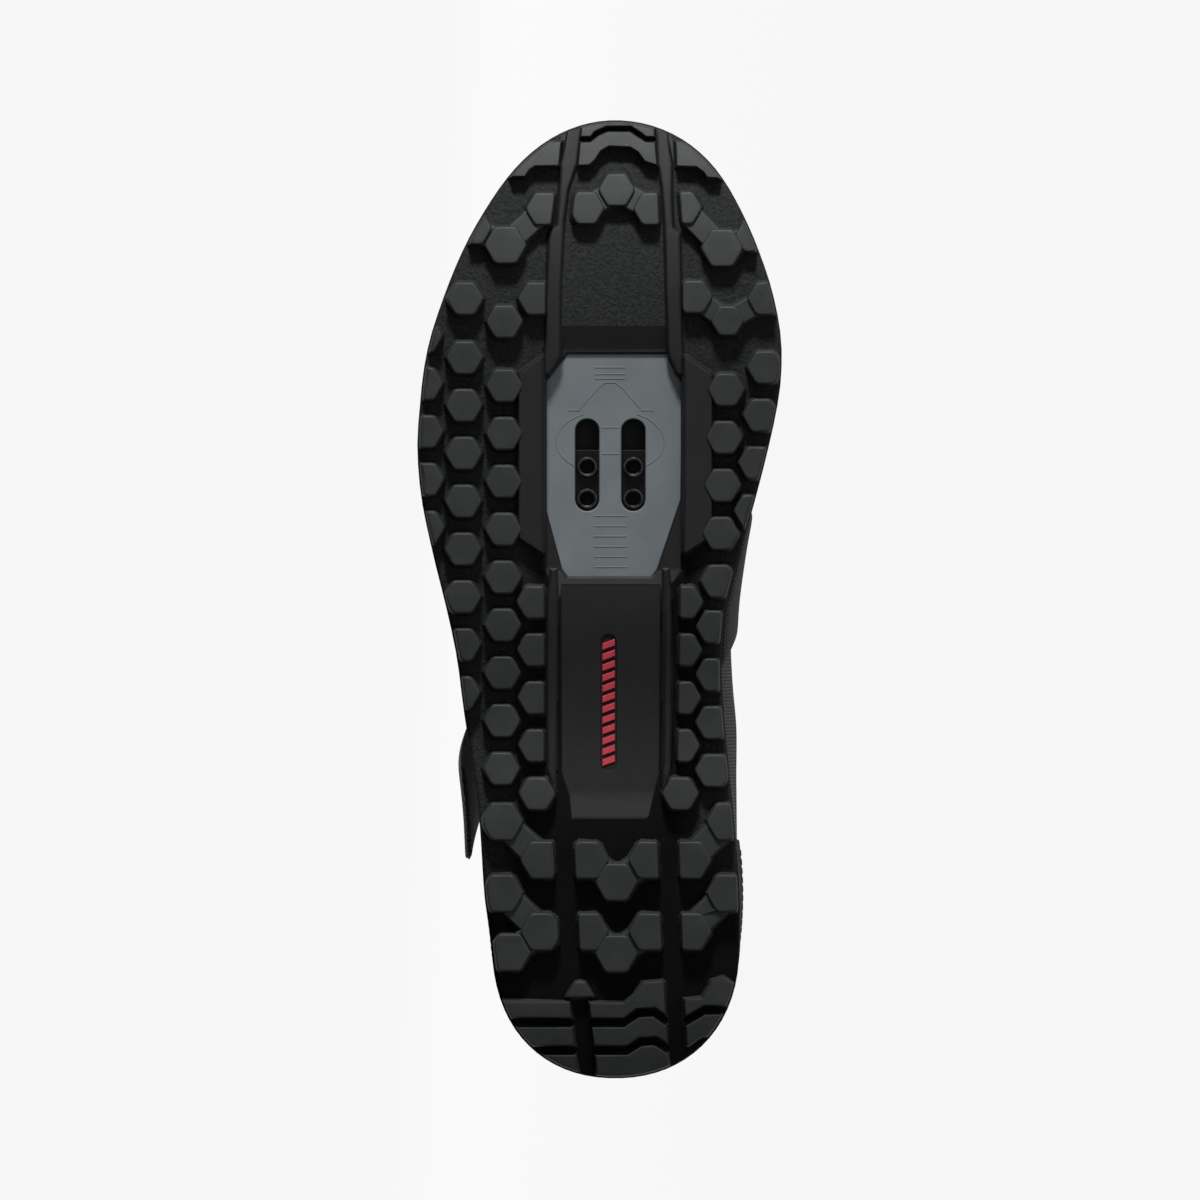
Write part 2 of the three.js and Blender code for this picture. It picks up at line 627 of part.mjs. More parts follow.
function formPoint(share, side, t, grow = 0, lift = 0) {
  const medial = side > 0;
  const inset = weltWidth - grow;
  const x = inset + share * (shoeLength - 2 * inset);
  const ends = endFactor(share);
  const foot = outlineAt[medial ? "medial" : "lateral"](share) * ballWidth - inset;
  const low = featherHeight(x) + lift;
  const toe = clamp((share - 0.87) / 0.13, 0, 1);
  const height = (sectionAt.ridge(share) * instepHeight + grow - low) * (1 - toe ** 2.4) ** (1 / 2.4);
  const gap = sectionAt.gap(share) * ballWidth;
  const opened = gap + grow * clamp(gap / 20, 0, 1);
  const bulge = sectionAt[medial ? "bulgeM" : "bulgeL"](share) * ballWidth;
  const shoulder = sectionAt.shoulder(share) * ballWidth + 0.75 * grow;
  const ys = [foot, foot + bulge, opened + shoulder, opened];
  const zs = [0, sectionAt.rise(share), 1 - sectionAt.drop(share), 1];
  const weights = [(1 - t) ** 3, 3 * t * (1 - t) ** 2, 3 * t * t * (1 - t), t ** 3];
  const blend = (values) => weights.reduce((sum, w, i) => sum + w * values[i], 0);
  const z = low + height * blend(zs);
  const fade = (1 - clamp(share / 0.25, 0, 1)) ** 2;
  const lean = heelCurve * heelLean(clamp((z - low) / (0.72 * instepHeight), 0, 1)) * fade;
  return point(x + lean, side * blend(ys) * ends, z);
}

// How far down a form reaches where only its sides are used
const farDown = instepHeight / 5;
const SECTION_STEPS = [0, 0.16, 0.34, 0.52, 0.7, 0.87, 1];

// The solid inside the form grown by a distance, reaching further down if depth is given.
// grow may be a function of the share, of t and of the side.
function formSolid(grow, { lift = 0, depth = 0 } = {}) {
  const growAt = typeof grow === "function" ? grow : () => grow;
  const rings = FORM_STATIONS.map((share) => {
    const at = (side, t) => formPoint(share, side, t, growAt(share, t, side), lift);
    const ring = [
      ...SECTION_STEPS.map((t) => at(1, t)),
      ...[...SECTION_STEPS].reverse().map((t) => at(-1, t)),
    ];
    const lowered = (p) => (depth ? [point(p.x, p.y, p.z - depth)] : []);
    return [...lowered(ring[0]), ...ring, ...lowered(ring[ring.length - 1])];
  });
  return skin(rings);
}

// Height of the form over a plan place near its ridge, and the outward direction there
function overForm(x, y, grow) {
  const share = (x - weltWidth) / (shoeLength - 2 * weltWidth);
  const side = y < 0 ? -1 : 1;
  let [low, high] = [0.3, 1];
  for (let i = 0; i < 30; i++) {
    const t = (low + high) / 2;
    if (Math.abs(formPoint(share, side, t, grow).y) > Math.abs(y)) low = t;
    else high = t;
  }
  const place = formPoint(share, side, low, grow);
  const along = formPoint(share + 0.01, side, low, grow).sub(place);
  const across = formPoint(share, side, low - 0.02, grow).sub(place);
  const normal = along.cross(across).normalize();
  return { place: point(place.x, y, place.z), normal: normal.z < 0 ? normal.negate() : normal };
}

// Plan outline of the throat, wide at the collar and round at the vamp
function throatOutline(grow = 0) {
  const front = throatFrontWidth / 2;
  const arc = Array.from({ length: 7 }, (_, k) => {
    const angle = Math.PI * (k / 6) - Math.PI / 2;
    return new THREE.Vector2(throatFront - front + front * Math.cos(angle), front * Math.sin(angle));
  });
  const back = throatBackWidth / 2;
  return widened(
    [new THREE.Vector2(throatBack, -back), ...arc, new THREE.Vector2(throatBack, back)], grow,
  );
}

// What lies above the collar's top edge, moved up by a lift
function aboveTopline(lift = 0) {
  const line = new THREE.CatmullRomCurve3(
    TOPLINE.map(({ along, up }) => point(along * shoeLength, 0, up * instepHeight + lift)),
  );
  const shape = new THREE.Shape();
  line.getPoints(24).forEach((p, i) => (i ? shape.lineTo(p.x, p.z) : shape.moveTo(p.x, p.z)));
  shape.lineTo(0.5 * shoeLength, 2 * instepHeight);
  shape.lineTo(-0.06 * shoeLength, 2 * instepHeight);
  const wide = ballWidth;
  const solid = new THREE.ExtrudeGeometry(shape, { depth: 2 * wide, bevelEnabled: false });
  solid.rotateX(Math.PI / 2);
  return solidOf(solid.translate(0, wide, 0));
}

const high = level(2 * instepHeight);

function eyeletPlaces() {
  return Array.from({ length: laceRows }, (_, row) => {
    const x = firstLace - row * laceStep;
    const opening = THREE.MathUtils.mapLinear(
      x, throatFront - throatFrontWidth / 2, throatBack, throatFrontWidth / 2, throatBackWidth / 2,
    );
    return { x, y: Math.max(opening, throatFrontWidth / 2) + eyeletInset };
  });
}

function eyeletHoles() {
  return joined(
    eyeletPlaces().flatMap(({ x, y }) =>
      [-1, 1].map((side) => {
        const { place, normal } = overForm(x, side * y, 0);
        const hole = new THREE.CylinderGeometry(eyeletRadius, eyeletRadius, 18, 7);
        const turn = new THREE.Quaternion().setFromUnitVectors(point(0, 1, 0), normal);
        hole.applyQuaternion(turn).translate(place.x, place.y, place.z);
        return solidOf(hole);
      }),
    ),
  );
}

// Side outlines of the eyestay and of the tongue, as shares of the length and the instep height
const EYESTAY_SIDE = [[0.3, 0.93], [0.38, 0.76], [0.44, 0.65], [0.52, 0.54], [0.62, 0.43], [0.7, 0.36],
  [0.8, 0.3], [0.8, 1.2], [0.3, 1.2]];
const TONGUE_SIDE = [[0.335, 1.09], [0.36, 0.76], [0.4, 0.66], [0.5, 0.54], [0.62, 0.45],
  [0.74, 0.36], [0.8, 0.36], [0.8, 1.09]];
const TONGUE_FRONT = [[-0.3, 0], [-0.3, 0.72], [-0.24, 0.86], [-0.21, 0.95], [-0.15, 1.02],
  [-0.07, 1.06], [0.07, 1.06], [0.15, 1.02], [0.21, 0.95], [0.24, 0.86], [0.3, 0.72], [0.3, 0]];

// How far the inside of the upper lies from its outside: padded round the ankle
function liningDepth(share, t) {
  const collar = 1 - smooth(0.24, 0.34, share);
  return upperWall + collarPadding * collar * smooth(0.28, 0.42, t);
}

function makeUpper(opening, holes) {
  const outside = formSolid(0, { lift: clearance });
  const inside = formSolid((share, t) => -liningDepth(share, t), { lift: clearance, depth: farDown });
  return outside.subtract(inside).subtract(opening).subtract(aboveTopline()).subtract(holes);
}

// An overlay is cut between two larger forms, above the lip of the midsole
function overlay(region, thickness = overlayThickness) {
  const outer = formSolid(clearance + thickness, { depth: 0.2 * farDown });
  const inner = formSolid(clearance, { depth: 0.4 * farDown });
  return outer.subtract(inner).intersect(region).intersect(aboveLip());
}

function aboveLip() {
  return soleBody([
    { inset: -20, height: (x) => lipTop(x) + clearance },
    { inset: -20, height: level(2 * instepHeight) },
  ]);
}

function makeEyestay(opening, holes) {
  const region = block(throatOutline(eyestayWidth), level(0), high);
  const panel = overlay(region.intersect(sideBlock(EYESTAY_SIDE)));
  return panel.subtract(opening).subtract(aboveTopline(-overlayThickness)).subtract(holes);
}

const TOE_CAP = [[0.905, 0], [0.9, 0.12], [0.875, 0.27], [0.8, 0.44], [0.78, 0.6], [1.1, 0.6],
  [1.1, -0.6], [0.77, -0.6], [0.79, -0.46], [0.87, -0.29], [0.9, -0.13]];

const makeToeCap = () => overlay(block(plan(TOE_CAP), level(0), high), 1.2 * overlayThickness);

// Side outline of the heel counter, as shares of the shoe length and of the instep height
const HEEL_COUNTER = [[-0.1, 0], [0.27, 0], [0.25, 0.33], [0.17, 0.42], [0.08, 0.6], [0.03, 0.66],
  [-0.1, 0.66]];

function sideBlock(shares, wide = ballWidth) {
  const shape = new THREE.Shape(
    shares.map(([u, w]) => new THREE.Vector2(u * shoeLength, w * instepHeight)),
  );
  const solid = new THREE.ExtrudeGeometry(shape, { depth: 2 * wide, bevelEnabled: false });
  solid.rotateX(Math.PI / 2);
  return solidOf(solid.translate(0, wide, 0));
}

const makeHeelCounter = () => overlay(sideBlock(HEEL_COUNTER), 1.4 * overlayThickness);

// What lies within an outline seen from the front
function frontBlock(shares) {
  const shape = new THREE.Shape(
    shares.map(([v, w]) => new THREE.Vector2(v * ballWidth, w * instepHeight)),
  );
  const solid = new THREE.ExtrudeGeometry(shape, { depth: shoeLength, bevelEnabled: false });
  solid.applyMatrix4(new THREE.Matrix4().makeBasis(point(0, 1, 0), point(0, 0, 1), point(1, 0, 0)));
  return solidOf(solid);
}

// The tongue lies under the eyestay, and its padded middle fills the throat
function makeTongue() {
  const depth = (share, t) => liningDepth(share, t) + clearance;
  const middle = block(throatOutline(-1), level(0), high);
  const inner = formSolid((share, t) => -depth(share, t) - tongueThickness, { depth: farDown });
  const flap = formSolid((share, t) => -depth(share, t));
  const pad = formSolid(-clearance).intersect(middle);
  const outline = sideBlock(TONGUE_SIDE).intersect(frontBlock(TONGUE_FRONT));
  return flap.add(pad).subtract(inner).intersect(outline);
}

function makeInsole() {
  const low = (x) => featherHeight(x) + 2 * clearance;
  const inset = weltWidth + upperWall + 2 * clearance;
  return soleBody([
    { inset, height: low },
    { inset: inset + 1.5, height: (x) => low(x) + insoleThickness },
  ]);
}

function makeMidsole() {
  const side = (share) => (x) =>
    THREE.MathUtils.lerp(ground(x) + soleBase + clearance, lipTop(x), share);
  const body = soleBody([
    { inset: 1.2, height: side(0) },
    { inset: 0.7, height: side(0.42) },
    { inset: 1.9, height: side(0.47) },
    { inset: 1.9, height: side(0.53) },
    { inset: 0.5, height: side(0.58) },
    { inset: 1.0, height: side(1) },
  ]);
  const rimSpace = soleBody([
    { inset: -5, height: (x) => ground(x) + lugHeight },
    { inset: -5, height: (x) => rimTop(x) + clearance },
  ]).subtract(
    soleBody([
      { inset: rimWall + clearance, height: (x) => ground(x) + lugHeight - 1 },
      { inset: rimWall + clearance, height: (x) => rimTop(x) + 2 },
    ]),
  );
  const plateSpace = block(
    widened(plan(WINDOW), plateFlange + clearance), level(0), level(plateTop + clearance),
  );
  const reach = barrelRadius + nutPlateMargin / 2 + 1;
  const [x0, x1] = [nutRear - reach - nutBackTravel, nutRear + nutRowSpacing + reach + nutTravel];
  const halfWidth = slotSpacing / 2 + reach;
  const nutSpace = block(
    [[x0, -halfWidth], [x1, -halfWidth], [x1, halfWidth], [x0, halfWidth]].map(
      ([x, y]) => new THREE.Vector2(x, y + plateMiddle),
    ),
    level(0), level(plateTop + clearance + nutPlateThickness + 1),
  );
  return body.subtract(formSolid(clearance)).subtract(rimSpace).subtract(plateSpace).subtract(nutSpace);
}

// One straight run of the lace, from the eyelet on one side to the eyelet on the other
function makeLace({ x, y }) {
  const height = laceGrow + laceThickness / 2;
  const over = (across, lift, out) => {
    const { place, normal } = overForm(x, across, 0);
    return { at: place.addScaledVector(normal, lift), out: out ?? normal };
  };
  const end = (side) => [
    over(side * y, height - laceDip, point(0, side, 0)),
    over(side * y, height - 0.6, point(0, side, 0.6)),
    over(side * (y - 1.8), height),
  ];
  const rim = y - eyeletInset;
  const middle = [-1, -0.4, 0.4, 1].map((share) => over(share * rim, height));
  return ribbon([...end(-1), ...middle, ...end(1).reverse()], laceWidth, laceThickness);
}

// A flat band along a path of places, each with the direction that its face looks
function ribbon(path, width, thickness) {
  const rings = path.map(({ at, out }, i) => {
    const before = path[Math.max(i - 1, 0)].at;
    const after = path[Math.min(i + 1, path.length - 1)].at;
    const along = after.clone().sub(before).normalize();
    const across = along.clone().cross(out).normalize();
    const face = across.clone().cross(along).normalize();
    return [[1, 1], [-1, 1], [-1, -1], [1, -1]].map(([w, n]) =>
      at.clone().addScaledVector(across, (w * width) / 2).addScaledVector(face, (n * thickness) / 2),
    );
  });
  return skin(rings);
}

// The strap: a band of the form's surface between two slanting planes, with its free end on the
// outer side, as shares of the length, the ball width and the instep height
const strapAnchor = point(0.53 * shoeLength, 0.38 * ballWidth, 0.3 * instepHeight);
const strapRidge = point(0.475 * shoeLength, 0, 0.92 * instepHeight);
const strapEnd = point(0.28 * shoeLength, -0.4 * ballWidth, 0.4 * instepHeight);
const STRAP_END = [[0.228, 0.46], [0.232, 0.41], [0.285, 0.3], [0.305, 0.29], [0.6, 0.5], [0.6, 1.3],
  [0.3, 1.3]];

function strapSlab(width) {
  const along = strapEnd.clone().sub(strapAnchor).normalize();
  const up = strapRidge.clone().sub(strapAnchor);
  const normal = along.clone().cross(up).normalize();
  const upright = normal.clone().cross(along).normalize();
  const slab = new THREE.BoxGeometry(4 * ballWidth, 4 * instepHeight, width);
  slab.applyMatrix4(new THREE.Matrix4().makeBasis(along, upright, normal));
  return solidOf(slab.translate(strapAnchor.x, strapAnchor.y, strapAnchor.z));
}

function strapGrow(base) {
  return (share, t, side) => {
    const low = side < 0 ? strapTipLift : 0;
    return base + low + (strapLift - low) * smooth(0.3, 0.6, t);
  };
}

function makeStrap() {
  const outer = formSolid(strapGrow(clearance + strapThickness), { depth: 0.2 * farDown });
  const inner = formSolid(strapGrow(clearance), { depth: 0.4 * farDown });
  const ends = medialHalf().add(sideBlock(STRAP_END));
  return outer.subtract(inner).intersect(strapSlab(strapWidth)).intersect(ends).intersect(aboveLip());
}

function medialHalf() {
  const outline = [[0, 0], [1, 0], [1, 0.8], [0, 0.8]];
  return block(plan(outline), level(0), high);
}

// Material of each kind of piece
const finish = (color, roughness, metalness = 0) =>
  new THREE.MeshStandardMaterial({ color, roughness, metalness });
const rubber = finish(0x2b2c2d, 0.75);
const foam = finish(0x1d1e20, 0.85);
const nylon = finish(0x5f6669, 0.5);
const steel = finish(0x777a7c, 0.35, 0.9);
const fabric = finish(0x2c2d2f, 0.9);
const synthetic = finish(0x1c1d1e, 0.6);
const webbing = finish(0x161718, 0.8);

const shoe = new THREE.Group();
let mass = 0;
const massCentre = point(0, 0, 0);

// Adds a named piece. density is in grams per cubic centimetre.
function addPiece(name, solid, material, density) {
  const mesh = new THREE.Mesh(geometryOf(solid), material);
  mesh.name = name;
  shoe.add(mesh);
  const { vertProperties, triVerts } = solid.getMesh();
  const corner = (i) => point().fromArray(vertProperties, 3 * triVerts[i]);
  for (let i = 0; i < triVerts.length; i += 3) {
    const [a, b, c] = [corner(i), corner(i + 1), corner(i + 2)];
    const share = (density / 1000) * (a.dot(b.clone().cross(c)) / 6);
    mass += share;
    massCentre.add(a.add(b).add(c).multiplyScalar(share / 4));
  }
}

const opening = block(throatOutline(), level(0), high);
const holes = eyeletHoles();
addPiece("outsole", makeOutsole(), rubber, 1.1);
addPiece("midsole", makeMidsole(), foam, 0.22);
addPiece("cleat_plate", makePlate(), nylon, 1.2);
addPiece("nut_plate", makeNutPlate(), steel, 7.8);
addPiece("insole", makeInsole(), foam, 0.2);
addPiece("upper", makeUpper(opening, holes), fabric, 0.55);
addPiece("eyestay", makeEyestay(opening, holes), synthetic, 0.9);
addPiece("toe_cap", makeToeCap(), synthetic, 0.9);
addPiece("heel_counter", makeHeelCounter(), synthetic, 0.9);
addPiece("tongue", makeTongue(), fabric, 0.3);
addPiece("strap", makeStrap(), webbing, 0.8);
eyeletPlaces().forEach((place, row) => {
  addPiece(`lace_${row + 1}`, makeLace(place), webbing, 0.9);
});
massCentre.divideScalar(mass);

// Lays the shoe on its inner side: of the hull's faces that the centre of mass stands over, the one
// that looks most to the inner side becomes the underside. The toe then points to +X.
function restTurn() {
  const corners = shoe.children.flatMap(({ geometry: { attributes } }) =>
    Array.from({ length: attributes.position.count }, (_, i) =>
      point().fromBufferAttribute(attributes.position, i),
    ),
  );
  const hull = new ConvexHull().setFromPoints(corners);
  const stands = ({ normal, edge }) => {
    const [a, b, c] = [edge.head().point, edge.next.head().point, edge.prev.head().point];
    const foot = massCentre.clone().addScaledVector(normal, normal.dot(a) - normal.dot(massCentre));
    return new THREE.Triangle(a, b, c).containsPoint(foot);
  };
  const stable = hull.faces.filter(stands);
  const down = stable.reduce((best, face) => (face.normal.y > best.normal.y ? face : best)).normal;
  const up = down.clone().negate();
  const toe = point(1, 0, 0).addScaledVector(up, -up.x).normalize();
  const left = up.clone().cross(toe);
  return new THREE.Matrix4().makeBasis(toe, left, up).transpose();
}

shoe.applyMatrix4(restTurn());
const model = new THREE.Group();
model.add(shoe);
const box = new THREE.Box3().setFromObject(model, true);
const middle = box.getCenter(point());
shoe.position.set(-middle.x, -middle.y, -box.min.z);

export default model;
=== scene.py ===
"""Looks of a trail cycling shoe for the right foot, lying on its inner side.

Everything is worked out in the shoe's own frame, in millimetres: x runs from the heel to the toe,
y points to the inner side, z points up from the lug tips. place() brings it into the frame of the
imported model, where the shoe lies on its inner side with its sole towards -Y.
"""
import json
import math

import bmesh
import bpy
import numpy as np
from mathutils import Matrix, Vector

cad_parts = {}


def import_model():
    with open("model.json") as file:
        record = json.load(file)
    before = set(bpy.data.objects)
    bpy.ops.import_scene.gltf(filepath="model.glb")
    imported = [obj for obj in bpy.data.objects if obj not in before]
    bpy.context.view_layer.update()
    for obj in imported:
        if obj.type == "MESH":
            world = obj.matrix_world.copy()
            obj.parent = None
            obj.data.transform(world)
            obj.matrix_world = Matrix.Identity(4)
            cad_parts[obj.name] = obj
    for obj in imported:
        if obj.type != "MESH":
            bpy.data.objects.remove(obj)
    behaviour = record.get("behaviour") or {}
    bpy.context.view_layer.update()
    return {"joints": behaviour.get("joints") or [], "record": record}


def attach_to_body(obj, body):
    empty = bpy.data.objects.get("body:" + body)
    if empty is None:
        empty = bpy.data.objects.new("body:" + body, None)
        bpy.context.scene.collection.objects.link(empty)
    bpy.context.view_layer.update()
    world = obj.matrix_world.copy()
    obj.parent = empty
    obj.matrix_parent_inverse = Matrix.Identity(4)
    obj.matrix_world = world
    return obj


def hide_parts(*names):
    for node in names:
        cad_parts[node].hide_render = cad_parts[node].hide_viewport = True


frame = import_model()

# Driving sizes of the sole
SHOE_LENGTH = 291.0
BALL_WIDTH = 110.0
TOE_SPRING = 16.0
HEEL_BEVEL = 5.0
ARCH_RISE = 3.0
LUG_HEIGHT = 5.0
TREAD_BASE = 3.0
RIM_WALL = 2.4
RIM_RISE = 1.0
TOE_RIM_RISE = 7.0
HEEL_RIM_RISE = 4.0
LIP_HEIGHT = 4.0
TOE_ROUNDING = 85.0
HEEL_ROUNDING = 40.0
SOLE_BASE = LUG_HEIGHT + TREAD_BASE
# Where the toe spring starts, the heel's bevel ends and the arch rises, as shares of the length
TOE_SPRING_START = 0.765
HEEL_BEVEL_END = 0.1
ARCH_START = 0.24
ARCH_SPAN = 0.27

# Driving sizes of the tread
HEX_ACROSS = 9.8
BIG_HEX_ACROSS = 11.2
SMALL_HEX_ACROSS = 8.8
LUG_DRAFT = 0.7
WEB_DROP = 1.1
RAIL_HEIGHT = 1.7
RIDGE_HEIGHT = 1.0
BAR_DROP = 0.6
ARCH_RECESS = 1.3
POCKET_DEPTH = 2.3
HEEL_GROOVE_WIDTH = 3.0
HEEL_CHANNEL_WIDTH = 6.0
LUG_EDGE_INSET = 0.95
CLEARANCE = 0.3
MARK_MIDDLE = np.array((114.0, -2.0))
MARK_LENGTH = 41.4
MARK_WIDTH = 4.7
MARK_DEPTH = 0.6
MARK_BARS = 12
MARK_LEAN = 0.7
MARK_BAR_SHARE = 0.31

# Driving sizes of the cleat fitting
PLATE_MIDDLE = -1.5
SLOT_SPACING = 14.0
SLOT_LENGTH = 28.0
SLOT_WIDTH = 7.3
SLOT_MIDDLE = 186.0
PLATE_THICKNESS = 3.0
PLATE_FLANGE = 2.5
CLEAT_FACE = (SLOT_MIDDLE, PLATE_MIDDLE, SOLE_BASE + CLEARANCE)
NUT_REAR = SLOT_MIDDLE - 10.2
NUT_ROW_SPACING = 9.6
NUT_PLATE_THICKNESS = 2.0
NUT_REACH = 5.2
BARREL_RADIUS = 3.1
THREAD_RADIUS = 2.1
BARREL_RECESS = 0.8
PLATE_CORNER = 4.0
PLATE_CHAMFER = 0.3
NUT_CORNER = 2.0
NUT_CHAMFER = 0.2
THREAD_PITCH = 0.8
COUNTERSINK = 0.45

# Half widths of the sole as shares of the ball width: at, lateral, medial
OUTLINE = [
    (0.0, 0.343, 0.345), (0.13, 0.34, 0.342), (0.19, 0.36, 0.343), (0.28, 0.377, 0.325),
    (0.385, 0.418, 0.299), (0.44, 0.437, 0.293), (0.49, 0.465, 0.305), (0.545, 0.501, 0.343),
    (0.605, 0.534, 0.387), (0.66, 0.545, 0.424), (0.71, 0.536, 0.451), (0.765, 0.524, 0.467),
    (0.815, 0.507, 0.469), (0.87, 0.494, 0.467), (0.92, 0.486, 0.475), (1.0, 0.5, 0.52),
]
# Top of the sole under the foot, as shares of the lug and base height: at, height
STACK = [(0.0, 3.4), (0.2, 3.35), (0.4, 3.05), (0.55, 2.75), (0.7, 2.6), (0.85, 2.4), (1.0, 2.2)]

# Straight rows of hexagonal lugs: rear lug's place, count, across, spread towards the toe
LUG_ROWS = [
    (0.574, 5, -0.52, -0.0015), (0.402, 8, -0.422, 0.001), (0.812, 1, -0.413, 0),
    (0.323, 9, -0.313, 0.001), (0.788, 1, -0.305, 0), (0.297, 5, -0.215, -0.0015),
    (0.812, 1, -0.217, 0), (0.297, 5, 0.179, 0.003), (0.321, 4, 0.27, 0.001),
    (0.518, 5, 0.285, 0.005), (0.591, 4, 0.377, 0.012),
]
LUG_PITCH = 0.0498

# Zigzag rows, each hexagon joined to the next by a lower web: along, across, size
TOE_ZIGZAG = [
    (0.886, -0.39, HEX_ACROSS), (0.868, -0.302, BIG_HEX_ACROSS), (0.906, -0.196, HEX_ACROSS),
    (0.907, -0.08, HEX_ACROSS), (0.926, 0.004, HEX_ACROSS), (0.906, 0.1, HEX_ACROSS),
    (0.907, 0.188, HEX_ACROSS), (0.865, 0.294, BIG_HEX_ACROSS), (0.878, 0.38, HEX_ACROSS),
]
INNER_ZIGZAG = [
    (0.814, 0.217, HEX_ACROSS), (0.789, 0.308, SMALL_HEX_ACROSS), (0.812, 0.414, HEX_ACROSS),
]
HEEL_ZIGZAG = [
    (0.074, -0.311, BIG_HEX_ACROSS), (0.034, -0.203, BIG_HEX_ACROSS),
    (0.034, -0.076, BIG_HEX_ACROSS), (0.011, 0.003, BIG_HEX_ACROSS),
    (0.034, 0.094, BIG_HEX_ACROSS), (0.034, 0.207, BIG_HEX_ACROSS),
    (0.074, 0.309, BIG_HEX_ACROSS),
]
HEEL_ZIGZAG_STARTS = (0.194, 0.1195)
HEEL_CORNER_LUG = (0.132, -0.29, BIG_HEX_ACROSS)

# Lines and outlines of the tread as (share of length, share of ball width)
TOE_PAD_REAR = [
    (0.94, -0.6), (0.94, -0.249), (0.947, -0.237), (0.951, -0.221), (0.952, -0.072),
    (0.958, -0.055), (0.967, -0.04), (0.972, -0.017), (0.971, 0.041), (0.966, 0.063),
    (0.956, 0.082), (0.952, 0.115), (0.95, 0.224), (0.945, 0.243), (0.939, 0.254), (0.933, 0.6),
]
TOE_PAD_GROOVE = [
    (0.979, -0.6), (0.979, -0.068), (0.985, -0.052), (0.99, -0.022), (0.99, 0.042),
    (0.984, 0.066), (0.979, 0.085), (0.979, 0.6),
]
HEEL_PAD_FRONT = [
    (0.082, -0.6), (0.08, -0.068), (0.079, 0.024), (0.089, 0.055), (0.101, 0.077),
    (0.102, 0.13), (0.083, 0.18), (0.084, 0.24), (0.102, 0.266), (0.107, 0.297),
    (0.098, 0.33), (0.098, 0.6),
]
HEEL_PAD_GROOVES = [
    [(0.059, -0.6), (0.059, 0.024), (0.069, 0.062), (0.07, 0.107), (0.061, 0.14),
     (0.061, 0.196), (0.072, 0.246), (0.074, 0.6)],
    [(0.03, -0.6), (0.03, 0.033), (0.039, 0.069), (0.04, 0.11), (0.032, 0.144),
     (0.03, 0.205), (0.04, 0.237), (0.043, 0.6)],
]
# Channels along the tread: along, outer edge, inner edge
MIDDLE_CHANNEL = [
    (0.309, -0.19, 0.16), (0.33, -0.196, 0.171), (0.53, -0.196, 0.18), (0.76, -0.194, 0.188),
    (0.884, -0.19, 0.182),
]
ZIGZAG_CHANNELS = [
    [(0.11, -0.15, -0.094), (0.153, -0.157, -0.1), (0.228, -0.169, -0.111), (0.29, -0.173, -0.116)],
    [(0.107, 0.13, 0.186), (0.153, 0.126, 0.183), (0.228, 0.118, 0.176), (0.29, 0.114, 0.172)],
    [(0.88, -0.18, -0.126), (0.952, -0.156, -0.102), (1.03, -0.136, -0.082)],
    [(0.88, 0.122, 0.186), (0.952, 0.115, 0.17), (1.03, 0.096, 0.162)],
]
HEEL_CHANNELS = [((0.104, -0.106), (-0.03, -0.066)), ((0.104, 0.16), (-0.03, 0.181))]
# Rails from the window to the toe: along, outer edge, inner edge
RAILS = [
    [(0.733, -0.197, -0.181), (0.752, -0.196, -0.152), (0.765, -0.192, -0.151),
     (0.81, -0.19, -0.151), (0.882, -0.184, -0.143), (0.889, -0.162, -0.141),
     (0.926, -0.154, -0.13), (0.952, -0.151, -0.106), (0.993, -0.139, -0.091)],
    [(0.733, 0.171, 0.187), (0.752, 0.149, 0.186), (0.765, 0.144, 0.184),
     (0.824, 0.14, 0.182), (0.881, 0.136, 0.179), (0.886, 0.136, 0.16),
     (0.928, 0.129, 0.156), (0.952, 0.118, 0.158), (0.993, 0.112, 0.152)],
]
SIDE_BARS = [
    [(0.734, -0.266), (0.754, -0.197), (0.546, -0.197), (0.563, -0.266)],
    [(0.734, 0.266), (0.753, 0.189), (0.546, 0.189), (0.565, 0.266)],
]
HEEL_STOP = [(0.085, -0.138), (0.102, -0.109), (0.102, -0.084), (0.085, -0.058)]
# Hollows of the tread's base: along, outer edge, inner edge, depth
ARCH_FLOOR = [
    (0.273, -0.119, 0.091, 0.0), (0.296, -0.125, 0.105, 1.0), (0.32, -0.146, 0.12, 1.0),
    (0.515, -0.148, 0.124, 1.0),
]
POCKET = [
    (0.5, -0.148, 0.124, 0.0), (0.53, -0.194, 0.18, 1.0), (0.76, -0.194, 0.184, 1.0),
    (0.784, -0.144, 0.136, 0.0),
]
WINDOW = [
    (0.524, -0.13, 0.097), (0.531, -0.144, 0.113), (0.604, -0.196, 0.178),
    (0.723, -0.194, 0.182), (0.754, -0.13, 0.143),
]
# Low ridges beside the arch: along, outer edge, inner edge
ARCH_RIDGES = [
    [(0.3, -0.168, -0.162), (0.322, -0.186, -0.163), (0.42, -0.188, -0.162), (0.5, -0.187, -0.16),
     (0.53, -0.176, -0.164)],
    [(0.3, 0.13, 0.136), (0.322, 0.132, 0.153), (0.42, 0.132, 0.156), (0.5, 0.131, 0.154),
     (0.53, 0.134, 0.145)],
]
# Raised lines on the cleat plate, in millimetres from the middle of the slots: along, across
PLATE_LINES = [
    *[[(x, -4.6), (x, 4.6)] for x in (29.6, 27.6, 26.2)],
    [(17.1, -9.2), (23.5, -3.6), (25, -1.6), (25, 1.6), (23.5, 3.6), (17.1, 9.2)],
    [(16.6, -13.0), (16.6, -9.2)], [(16.6, 9.2), (16.6, 13.0)],
    *[[(x, -2.6), (x, 2.6)] for x in (11.4, 3.4)],
    *[[(-15.4 - 3.1 * k, -5.0), (-15.4 - 3.1 * k, 5.0)] for k in range(6)],
]
PLATE_OVAL = (7.1, 9.7, 16.4)


